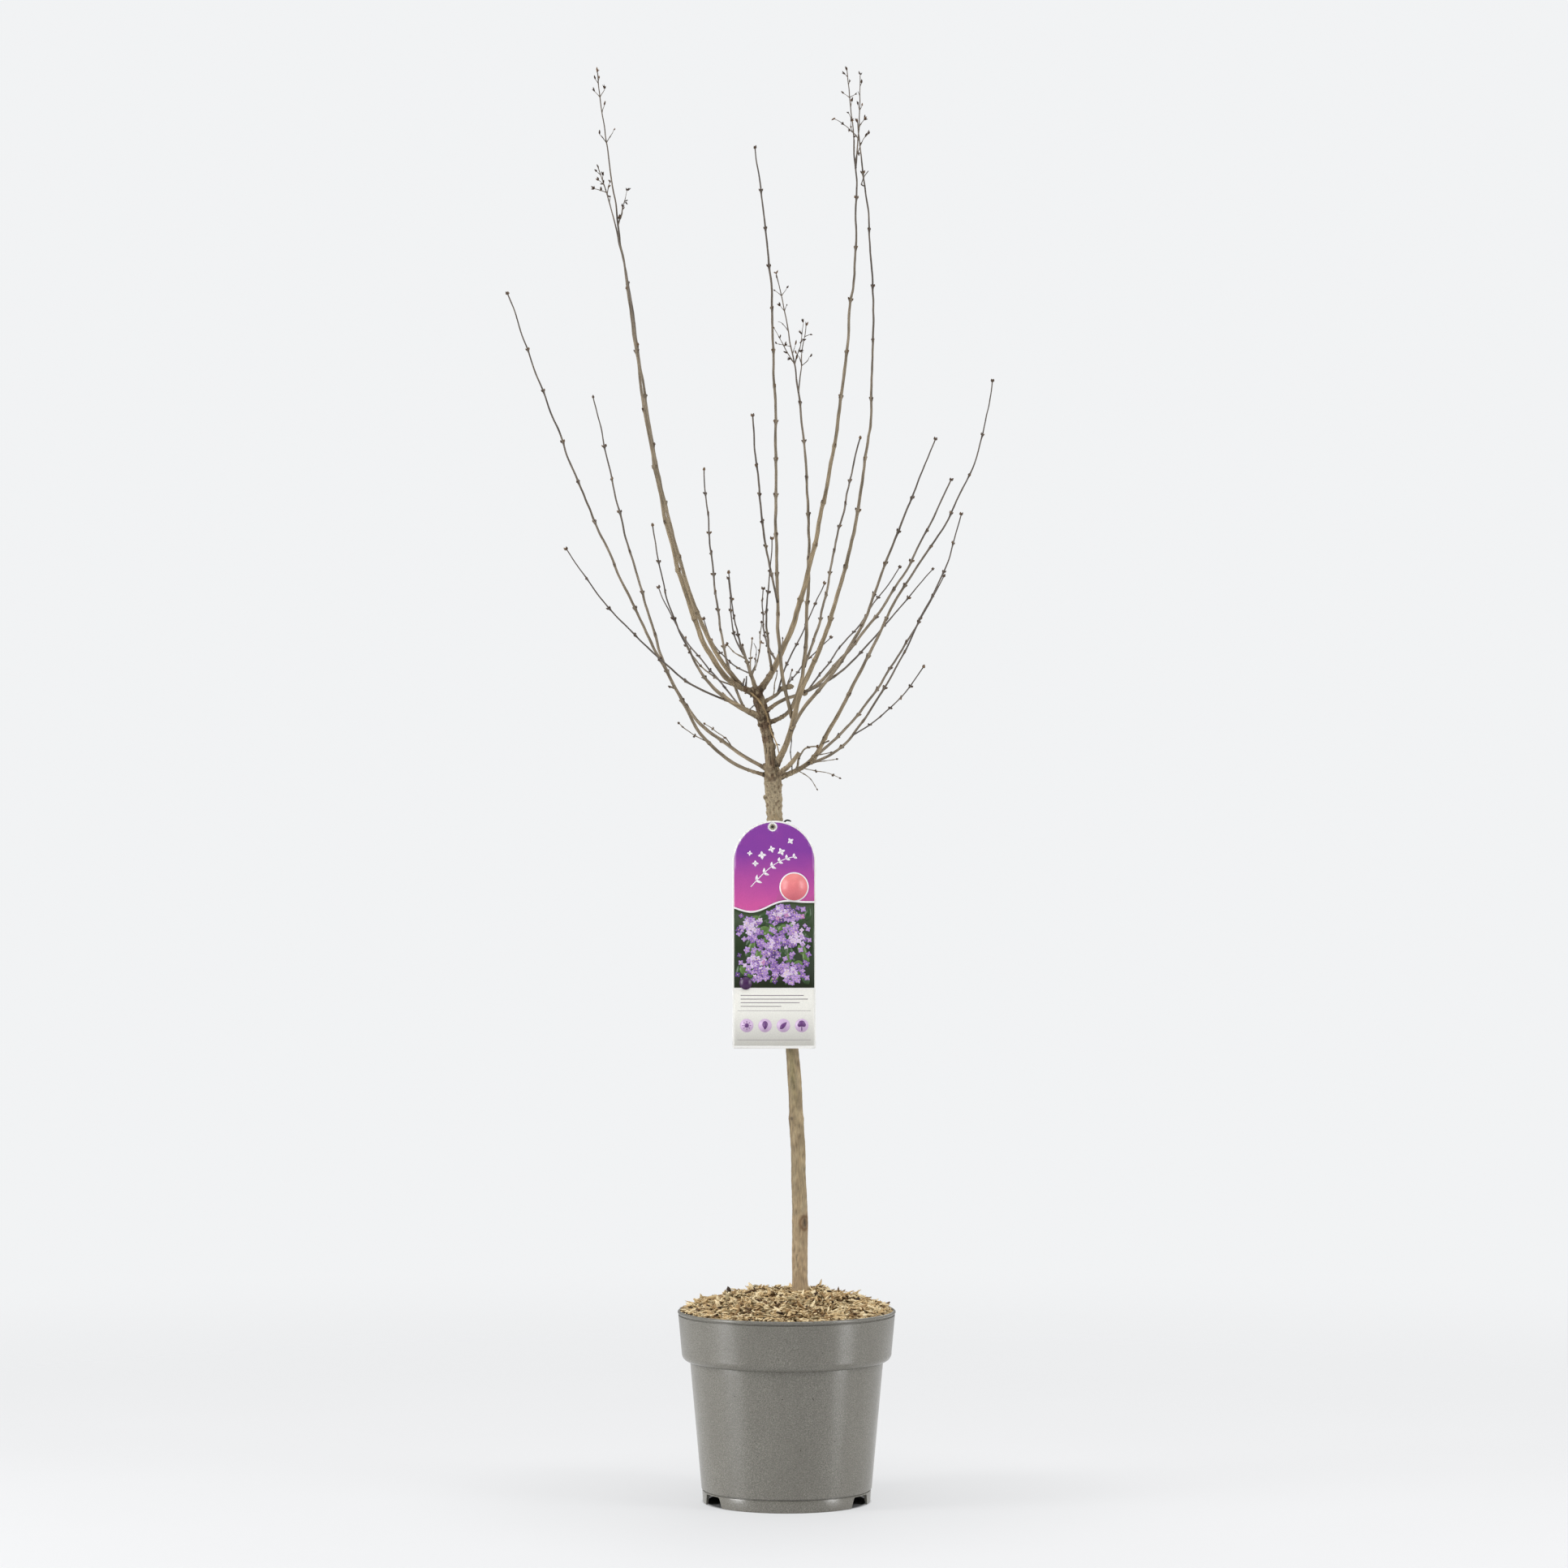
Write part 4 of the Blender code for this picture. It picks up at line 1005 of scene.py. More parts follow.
def litter():
    """Chips and splinters, each colour a piece of its own."""
    rng = np.random.default_rng(404)
    flakes = [outward(flake_shape(rng)) for _ in range(14)]
    slivers = [outward(splinter_shape(rng)) for _ in range(6)]
    reach = RIM_R - 3.2
    pieces = []
    for name, share, deep, mid, pale in LITTER:
        bag = Bag()
        runs = []
        for kind, shapes, count in (("flake", flakes, int(11600 * share)),
                                    ("sliver", slivers, int(4200 * share))):
            r = reach * np.sqrt(rng.uniform(0.0, 1.0, count))
            a = rng.uniform(0, TAU, count)
            if kind == "flake":
                length = np.clip(rng.lognormal(1.66, 0.42, count), 2.4, 17.0)
            else:
                length = np.clip(rng.lognormal(2.05, 0.45, count), 3.5, 24.0)
            # long ones keep clear of the lip
            r = np.minimum(r, np.maximum(reach + 1.0 - length * 0.42, 0.0) + rng.uniform(-2, 2, count))
            x, y = r * np.cos(a), r * np.sin(a)
            z = mound_height(x, y) + rng.uniform(-1.7, 1.5, count) * (1 - 0.5 * smooth(88, 102, r))
            # keep out of the stem
            near = np.hypot(x - 13.0, y) < 7.0
            x = np.where(near, x + 9.0 * np.sign(x - 13.0 + 1e-6), x)
            heading = rng.uniform(0, TAU, count)
            tilt = rng.normal(0, 0.34 if kind == "flake" else 0.22, count) * (1 - 0.6 * smooth(84, 100, r))
            roll = rng.normal(0, 0.4, count)
            ax = np.stack([np.cos(heading) * np.cos(tilt), np.sin(heading) * np.cos(tilt),
                           np.sin(tilt)], -1)
            up = np.stack([-np.sin(tilt) * np.cos(heading), -np.sin(tilt) * np.sin(heading),
                           np.cos(tilt)], -1)
            side = np.cross(up, ax)
            cr, sr = np.cos(roll)[:, None], np.sin(roll)[:, None]
            side, up = side * cr + up * sr, up * cr - side * sr
            broad = rng.uniform(0.75, 1.25, count)
            frames = np.stack([ax * length[:, None], side * (length * broad)[:, None],
                               up * (length * rng.uniform(0.7, 1.1, count))[:, None]], 1)
            places = np.stack([x, y, z + length * 0.5 * np.abs(np.sin(tilt)) * 0.6], -1)
            pick = rng.integers(0, len(shapes), count)
            for i, shape in enumerate(shapes):
                m = pick == i
                if m.any():
                    bag.scatter(shape, frames[m], places[m])
                    base = np.asarray(shape[0]) * 1.0
                    run = (base[None] * length[m][:, None, None]
                           + rng.uniform(-300, 300, (int(m.sum()), 1, 3)))
                    runs.append(run.reshape(-1, 3))
        mesh = bag.mesh("mulch_" + name, smooth_faces=False)
        put_vectors(mesh, "run", np.concatenate(runs))
        look = chip_wood("litter_" + name, linear(*deep), linear(*mid), linear(*pale))
        pieces.append(add_piece("mulch_" + name, mesh, look))
    return pieces


# ------------------------------------------------------------------- the limbs
WARM = np.array(linear(143, 127, 102)[:3])
OLIVE = np.array(linear(130, 118, 101)[:3])
THIN = np.array(linear(98, 90, 83)[:3])
STALK = np.array(linear(104, 93, 82)[:3])
DARK = np.array(linear(50, 37, 28)[:3])
CUT_WOOD = np.array(linear(92, 70, 50)[:3])
STEM_TONE = np.array(linear(150, 133, 104)[:3])
FOOT_TONE = np.array(linear(164, 142, 112)[:3])
CALLUS = np.array(linear(160, 146, 120)[:3])
GREEN = np.array(linear(106, 106, 66)[:3])

coarse, medium, fine_waves, patches = Waves(31), Waves(32, 18), Waves(33, 20), Waves(34)


def blend_tones(a, b, t):
    t = np.asarray(t)[..., None]
    return a * (1 - t) + b * t


def exit_of(limb, parent):
    """How far along the limb leaves its parent's bark."""
    s = np.linspace(0.0, min(60.0, limb.length), 241)
    p = limb.at(s)
    q, r = parent.xyz, parent.radii
    gap = (np.linalg.norm(p[:, None, :] - q[None], axis=2) - r[None]).min(1)
    out = np.nonzero(gap > 0)[0]
    return float(s[out[0]]) if len(out) else float(s[-1])


def thinning(name, limb):
    """Share of the limb's radius left along it: a flower head's stalk is thin."""
    if name not in HEADS:
        return lambda s: np.ones_like(s)
    s0 = limb.s_at_height(HEADS[name])

    def share(s):
        t = np.clip((s - s0) / (limb.length - s0), 0.0, 1.0)
        return 1.0 - smooth(0.0, 0.16, t) * 0.12 - t * 0.14
    return share


def pair_places(name, limb, s_exit):
    first, gap0, gap1, end = BUD_PAIRS[name]
    if not first:
        return []
    top = limb.s_at_height(HEADS[name]) - 12 if name in HEADS else limb.length - gap1 * 0.72
    rng = np.random.default_rng(sum(map(ord, name)) * 7)
    s, out = s_exit + first, []
    while s < top:
        out.append(s)
        s += (gap0 + (gap1 - gap0) * s / limb.length) * rng.uniform(0.84, 1.12)
    return out


def limb_tube(name, limb, s0, s_exit, pairs, turn0, parent_radius, end, sides):
    """The limb's skin, with its nodes, scars, collar and grain."""
    share = thinning(name, limb)
    stations = list(np.arange(s0, limb.length, 2.6))
    for s in pairs:
        stations += list(s + np.array([-3.2, -2.2, -1.4, -0.8, -0.3, 0.3, 0.9, 1.6, 2.4]))
    stations += list(np.arange(s0, s_exit + 9.0, 1.1))
    if end == "cut":
        stations += [limb.length - 0.5]
    stations = np.unique(np.clip(np.array(stations + [limb.length]), s0, limb.length))
    keep = [0]
    for i in range(1, len(stations)):
        if stations[i] - stations[keep[-1]] > 0.45:
            keep.append(i)
    stations = stations[keep]
    p = limb.at(stations)
    seed = sum(map(ord, name))
    free = smooth(s_exit + 12.0, s_exit + 60.0, stations)
    sway = np.stack([Waves(seed)(p, 46.0), Waves(seed + 1)(p, 46.0), np.zeros(len(p))], -1)
    kinks = np.stack([Waves(seed + 2)(p, 17.0), Waves(seed + 3)(p, 17.0), np.zeros(len(p))], -1)
    p = p + free[:, None] * (0.45 * sway + 0.11 * kinks)
    along, side, over = turn_frames(p)
    theta = TAU * np.arange(sides) / sides
    r = limb.radius_at(stations) * share(stations)
    base_r = r.copy()
    thick = float(limb.radius_at(s_exit))
    r = r * (1.0 + 0.30 * np.exp(-np.clip(stations - s_exit + 0.6, 0, None) / (1.2 * thick))
             * (1.0 if thick > 1.3 else 0.75))
    skin = np.repeat(r[:, None], sides, 1)
    scar = np.zeros((len(stations), sides))
    for n, s in enumerate(pairs):
        turn = turn0 + n * math.pi / 2 + 0.22 * math.sin(n * 2.3 + seed)
        ds = stations - s
        rr = float(np.interp(s, stations, base_r))
        skin += (0.16 * rr + 0.10) * np.exp(-(ds / 2.3) ** 2)[:, None]
        facing = np.abs(np.cos(theta - turn))[None, :] ** 3
        shelf = np.exp(-((ds + 0.7) / 1.05) ** 2)[:, None] * facing
        skin += (0.20 * rr + 0.22) * shelf
        scar = np.maximum(scar, np.exp(-((ds + 0.9) / 0.55) ** 2)[:, None] * facing)
    run = np.stack([base_r[:, None] * np.cos(theta), base_r[:, None] * np.sin(theta),
                    np.repeat(stations[:, None], sides, 1) + seed % 97 * 11.0], -1)
    flat = run.reshape(-1, 3)
    grooves = medium(flat, (2.4, 2.4, 15.0)).reshape(skin.shape)
    lumps = coarse(flat, (5.0, 5.0, 9.0)).reshape(skin.shape)
    skin = skin * (1.0 + 0.032 * grooves + 0.028 * lumps)
    foot_wrinkles_and_shade = np.exp(-np.clip(stations - s_exit, 0, None) / (2.4 * thick))
    skin = skin * (1.0 + 0.05 * foot_wrinkles_and_shade[:, None]
                   * fine_waves(flat, (2.0, 2.0, 1.6)).reshape(skin.shape))
    # a few lenticels
    rng = np.random.default_rng(seed + 5)
    spots = np.zeros_like(skin)
    if thick > 1.2:
        for _ in range(int(limb.length / 9)):
            sc, tc = rng.uniform(s_exit, limb.length), rng.uniform(0, TAU)
            d2 = ((stations[:, None] - sc) / 0.9) ** 2 + (np.angle(np.exp(1j * (theta - tc)))[None] / 0.3) ** 2
            spots = np.maximum(spots, np.exp(-d2))
    skin = skin + 0.07 * spots
    verts, quads, tris = tube(p, skin, sides)
    # colour: by thickness, patched, dark at the scars, with painted shade where the limb leaves its parent
    age = base_r[:, None] + 0 * theta
    tone = blend_tones(THIN, OLIVE, smooth(0.85, 1.35, age))
    tone = blend_tones(tone, WARM, smooth(1.3, 2.3, age))
    if name in HEADS:
        tone = blend_tones(tone, STALK, smooth(0.99, 0.82, share(stations))[:, None] + 0 * theta)
    pale = patches(flat, (7.0, 7.0, 26.0)).reshape(skin.shape)
    tone = tone * (1.0 + 0.13 * pale + 0.09 * grooves)[..., None]
    tone = blend_tones(tone, DARK, np.clip(scar * 0.75, 0, 1))
    # painted shade: the limb darkens towards the fork it grows from
    tone = blend_tones(tone, DARK, np.clip(0.8 * foot_wrinkles_and_shade, 0, 0.72)[:, None] + 0 * theta)
    tone = blend_tones(tone, CALLUS, 0.45 * spots)
    if end == "cut":
        tone[-1] = CUT_WOOD
    tone = tone.reshape(-1, 3)
    tone = np.concatenate([tone, tone[:1], CUT_WOOD[None] if end == "cut" else tone[-1:]])
    run = np.concatenate([flat, flat[:1], flat[-1:]])
    return (verts, quads, tris), tone, run, (stations, p, along, side, over, skin.mean(1))


def outward_tube(data):
    verts, quads, tris = data
    f = quads
    a, b, c = verts[f[:, 0]], verts[f[:, 1]], verts[f[:, 2]]
    mid = verts.mean(0)
    v = np.einsum("ij,ij->i", a - mid, np.cross(b - mid, c - mid)).sum()
    if v < 0:
        quads, tris = quads[:, ::-1], tris[:, ::-1]
    return verts, quads, tris


# ---------------------------------------------------------- buds, pods, twigs
def bud_shape(fat=0.34, sides=8, keel=0.16):
    """A keeled, pointed bud along +z, 1 long, with a scale line round it."""
    rows = ((0.0, 0.30), (0.05, 0.62), (0.16, 0.88), (0.30, 1.0), (0.46, 0.95),
            (0.50, 0.87), (0.64, 0.72), (0.80, 0.46), (0.92, 0.22))
    theta = TAU * np.arange(sides) / sides
    rings = []
    for z, w in rows:
        r = fat * w * (1.0 + keel * np.cos(4 * theta) * min(1.0, z * 4))
        rings.append(np.stack([r * np.cos(theta), r * np.sin(theta), np.full(sides, z)], -1))
    verts = np.concatenate(rings + [[[0, 0, -0.02]], [[0, 0, 1.0]]])
    n, k = len(rows), np.arange(sides)
    j = (k + 1) % sides
    tris = np.concatenate([np.stack([np.full(sides, n * sides), j, k], -1),
                           np.stack([np.full(sides, n * sides + 1), (n - 1) * sides + k,
                                     (n - 1) * sides + j], -1)])
    return outward((verts, ring_faces(n, sides), tris))


def pod_shape(gape):
    """A dry two-valved capsule along +z, 1 long, beaked and a little open."""
    parts, quads, tris, first = [], [], [], 0
    sides = 7
    rows = ((0.0, 0.25), (0.10, 0.75), (0.30, 1.0), (0.52, 0.92), (0.72, 0.62), (0.88, 0.30))
    theta = TAU * np.arange(sides) / sides
    for way in (-1, 1):
        rings = []
        for z, w in rows:
            r = 0.17 * w
            x = r * np.cos(theta) * 0.62 + way * (0.05 + gape * z * z)
            y = r * np.sin(theta) * 1.15
            rings.append(np.stack([x, y, np.full(sides, z)], -1))
        v = np.concatenate(rings + [[[way * 0.03, 0, -0.02]], [[way * (0.06 + gape), 0, 1.0]]])
        k = np.arange(sides)
        j = (k + 1) % sides
        n = len(rows)
        q = ring_faces(n, sides)
        t = np.concatenate([np.stack([np.full(sides, n * sides), j, k], -1),
                            np.stack([np.full(sides, n * sides + 1), (n - 1) * sides + k,
                                      (n - 1) * sides + j], -1)])
        v, q, t = outward((v, q, t))
        parts.append(v)
        quads.append(np.asarray(q) + first)
        tris.append(np.asarray(t) + first)
        first += len(v)
    return np.concatenate(parts), np.concatenate(quads), np.concatenate(tris)


BUDS = [bud_shape(0.34, 8, 0.16), bud_shape(0.30, 8, 0.10), bud_shape(0.38, 8, 0.2)]
PODS = [pod_shape(0.05), pod_shape(0.14), pod_shape(0.24)]


class Crop:
    """Gathers small parts of one kind: shape, direction, size, place."""

    def __init__(self, shapes, seed):
        self.shapes, self.rng, self.items = shapes, np.random.default_rng(seed), []

    def add(self, place, way, size, width=None, spin=None):
        way = np.asarray(way, float)
        way = way / np.linalg.norm(way)
        ref = np.array((0.0, 0.0, 1.0)) if abs(way[2]) < 0.8 else np.array((1.0, 0.0, 0.0))
        x = np.cross(ref, way)
        x /= np.linalg.norm(x)
        y = np.cross(way, x)
        a = self.rng.uniform(0, TAU) if spin is None else spin
        width = size if width is None else width
        x, y = x * math.cos(a) + y * math.sin(a), y * math.cos(a) - x * math.sin(a)
        self.items.append((int(self.rng.integers(0, len(self.shapes))),
                           np.stack([x * width, y * width, way * size]), np.asarray(place, float)))

    def piece(self, name, mat, slot, stands_for=()):
        bag, runs = Bag(), []
        for i, shape in enumerate(self.shapes):
            chosen = [it for it in self.items if it[0] == i]
            if not chosen:
                continue
            frames = np.stack([it[1] for it in chosen])
            places = np.stack([it[2] for it in chosen])
            bag.scatter(shape, frames, places)
            size = np.linalg.norm(frames[:, 2], axis=1)[:, None, None]
            offset = self.rng.uniform(-200, 200, (len(chosen), 1, 3))
            runs.append((np.asarray(shape[0])[None] * size + offset).reshape(-1, 3))
        mesh = bag.mesh(name, sharp=60)
        put_vectors(mesh, "run", np.concatenate(runs))
        return add_piece(name, mesh, mat)


buds_deep, buds_warm = Crop(BUDS, 51), Crop(BUDS, 52)
pods_deep, pods_pale = Crop(PODS, 53), Crop(PODS, 54)
bud_rng = np.random.default_rng(55)
pod_rng = np.random.default_rng(56)


def one_bud(place, way, size):
    (buds_deep if bud_rng.uniform() < 0.6 else buds_warm).add(place, way, size)


def bud_pair(point, along, side, over, r, turn, size=2.7, spread=34.0):
    out = math.cos(turn) * side + math.sin(turn) * over
    for way in (1, -1):
        lean = math.radians(spread + bud_rng.uniform(-7, 7))
        d = along * math.cos(lean) + way * out * math.sin(lean)
        one_bud(point + way * out * r * 0.78 - along * 0.1, d, size * bud_rng.uniform(0.88, 1.16))


def tip_pair(point, along, side, over, turn, size=3.5, spread=20.0):
    out = math.cos(turn) * side + math.sin(turn) * over
    for way in (1, -1):
        lean = math.radians(spread + bud_rng.uniform(-5, 5))
        d = along * math.cos(lean) + way * out * math.sin(lean)
        one_bud(point + way * out * size * 0.13 - along * 0.7, d, size * bud_rng.uniform(0.92, 1.1))


def hang_pods(point, along, count, size=4.0):
    for k in range(count):
        d = along + pod_rng.normal(0, 0.55 if count > 1 else 0.25, 3)
        (pods_deep if pod_rng.uniform() < 0.7 else pods_pale).add(
            point + pod_rng.normal(0, 0.35, 3) * (count > 1), d,
            size * pod_rng.uniform(0.82, 1.18))


# ------------------------------------------------- the stem and its knotty head
def stem_skin():
    """The stem from inside the litter up into the head, with ridged bark, a
    knot, a node, lenticels and a greenish streak."""
    limb = LIMB["trunk"]
    sides = 84
    zz = np.arange(198.0, 692.0, 0.95)
    centre = np.stack([np.interp(zz, limb.xyz[:, 2], limb.xyz[:, k]) for k in (0, 1)] + [zz], -1)
    low = zz < STEM[0][0]
    centre[low, 0] = 13.0
    r = np.interp(zz, [s[0] for s in STEM], [s[3] for s in STEM])
    r = np.convolve(np.pad(r, 6, mode="edge"), np.ones(13) / 13, "valid")
    r = np.where(zz > 668, r * (1 - 0.25 * smooth(668, 690, zz)), r)
    theta = TAU * np.arange(sides) / sides          # 0 = +x, -90 degrees = front
    a, h = np.meshgrid(theta, zz)
    flat = np.stack([np.repeat(r[:, None], sides, 1) * np.cos(a),
                     np.repeat(r[:, None], sides, 1) * np.sin(a), h], -1).reshape(-1, 3)

    def on(w):
        return w.reshape(a.shape)
    ridge = on(Waves(61, 24)(flat, (3.6, 3.6, 34.0)))
    plates = on(Waves(62, 22)(flat, (2.1, 2.1, 9.0)))
    grit = on(Waves(63, 26)(flat, (1.3, 1.3, 2.6)))
    swell = on(Waves(64, 10)(flat, (16.0, 16.0, 42.0)))
    rough = 0.11 * ridge + 0.06 * plates + 0.04 * grit
    fissure = smooth(0.7, 1.9, -(ridge * 0.7 + plates * 0.6))
    skin = r[:, None] * (1.0 + 0.028 * swell) + rough - 0.24 * fissure

    def patch(z, azimuth, tall, wide):
        d = np.angle(np.exp(1j * (a - math.radians(azimuth)))) * r[:, None]
        return ((h - z) / tall) ** 2 + (d / wide) ** 2
    # the knot: a raised lip round a cracked, sunken scar
    knot = patch(274.0, -55.0, 6.6, 4.6)
    skin += 1.35 * np.exp(-knot * 0.75) - 0.95 * np.exp(-patch(274.0, -55.0, 3.4, 1.7))
    skin += 0.5 * np.exp(-patch(281.0, -60.0, 1.4, 3.6)) + 0.4 * np.exp(-patch(267.5, -52.0, 1.3, 3.2))
    # the node: a soft shoulder all round with a dark eye at its left front
    skin += 0.55 * np.exp(-((h - 375.5) / 3.6) ** 2) + 0.6 * np.exp(-patch(376.0, -40.0, 3.0, 3.4))
    eye = np.exp(-patch(376.5, -128.0, 1.9, 1.6))
    skin += 0.6 * np.exp(-patch(376.0, -128.0, 3.2, 3.2)) - 0.55 * eye
    # small side scars
    scars = np.zeros_like(a)
    for z, azimuth in ((226, -115), (318, -30), (340, 110), (412, -95), (436, 60), (505, -120),
                       (568, 30), (246, 80), (296, 170), (470, 150), (603, 100), (633, -60)):
        s = np.exp(-patch(z, azimuth, 1.6, 1.5))
        scars = np.maximum(scars, s)
        skin += 0.35 * np.exp(-patch(z, azimuth, 3.0, 2.8)) - 0.3 * s
    # lenticels
    rng = np.random.default_rng(65)
    rim, pith = np.zeros_like(a), np.zeros_like(a)
    for _ in range(230):
        z, azimuth = rng.uniform(205, 655), rng.uniform(-180, 180)
        d = patch(z, azimuth, rng.uniform(0.45, 0.75), rng.uniform(0.7, 1.4))
        rim = np.maximum(rim, np.exp(-d))
        pith = np.maximum(pith, np.exp(-d * 9.0))
    skin += 0.16 * rim - 0.18 * pith
    verts = centre[:, None, :] + np.stack([skin * np.cos(a), skin * np.sin(a), np.zeros_like(a)], -1)
    n = len(zz)
    quads = ring_faces(n, sides)
    verts = np.concatenate([verts.reshape(-1, 3), centre[:1], centre[-1:]])
    k = np.arange(sides)
    j = (k + 1) % sides
    tris = np.concatenate([np.stack([np.full(sides, n * sides), j, k], -1),
                           np.stack([np.full(sides, n * sides + 1), (n - 1) * sides + k,
                                     (n - 1) * sides + j], -1)])
    # colour
    tone = np.broadcast_to(STEM_TONE, a.shape + (3,)).copy()
    mottle = on(Waves(66, 12)(flat, (9.0, 9.0, 30.0)))
    browner = on(Waves(67, 12)(flat, (6.0, 6.0, 16.0)))
    tone = tone * (1.0 + 0.11 * mottle)[..., None]
    tone = blend_tones(tone, FOOT_TONE, 0.85 * smooth(330.0, 225.0, h))
    tone = blend_tones(tone, np.array(linear(96, 70, 47)[:3]), 0.26 * smooth(0.5, 1.8, browner))
    tone = blend_tones(tone, np.array(linear(156, 143, 116)[:3]), 0.40 * smooth(0.4, 1.8, -browner))
    tone = blend_tones(tone, GREEN, 0.40 * np.exp(-patch(425.0, -100.0, 34.0, 3.6)))
    # painted shadow: a dark stripe down the stem's left side, where a cast shadow falls
    tone = blend_tones(tone, DARK, 0.45 * np.exp(-patch(370.0, 178.0, 62.0, 5.0)))
    tone = blend_tones(tone, DARK, 0.10 * fissure)
    lip = np.exp(-((np.sqrt(knot) - 0.95) / 0.28) ** 2) + 0.7 * np.exp(-((np.sqrt(knot) - 0.45) / 0.16) ** 2)
    tone = blend_tones(tone, np.array(linear(96, 62, 32)[:3]), np.clip(0.75 * lip, 0, 0.85))
    tone = blend_tones(tone, DARK * 0.75, np.clip(0.85 * np.exp(-patch(274.0, -55.0, 3.6, 1.8))
                                                  + 0.8 * eye + 0.3 * scars + 0.8 * pith, 0, 0.92))
    tone = blend_tones(tone, CALLUS, 0.45 * np.clip(rim - 1.3 * pith, 0, 1))
    tone = tone * (1.0 + 0.10 * plates + 0.05 * grit)[..., None]
    tone = tone.reshape(-1, 3)
    mesh = make_mesh("stem_bark", verts, *outward_tube((verts, quads, tris))[1:])
    put_colours(mesh, "tone", np.concatenate([tone, tone[:1], tone[-1:]]))
    put_vectors(mesh, "run", np.concatenate([flat, flat[:1], flat[-1:]]))
    return mesh


def ball(centre, rx, ry, rz, tilt=0.0):
    rings, sides = 12, 18
    phi = np.linspace(0, math.pi, rings + 2)[1:-1]
    theta = TAU * np.arange(sides) / sides
    v = np.stack([rx * np.sin(phi)[:, None] * np.cos(theta), ry * np.sin(phi)[:, None] * np.sin(theta),
                  np.repeat(rz * np.cos(phi)[:, None], sides, 1)], -1).reshape(-1, 3)
    v = np.concatenate([v, [[0, 0, rz]], [[0, 0, -rz]]])
    k = np.arange(sides)
    j = (k + 1) % sides
    n = rings
    tris = np.concatenate([np.stack([np.full(sides, n * sides), k, j], -1),
                           np.stack([np.full(sides, n * sides + 1), (n - 1) * sides + j,
                                     (n - 1) * sides + k], -1)])
    c, s = math.cos(math.radians(tilt)), math.sin(math.radians(tilt))
    v = np.stack([v[:, 0] * c + v[:, 2] * s, v[:, 1], v[:, 2] * c - v[:, 0] * s], -1)
    return outward((v, ring_faces(n, sides), tris))[0] + np.asarray(centre, float), \
        *outward((v, ring_faces(n, sides), tris))[1:]


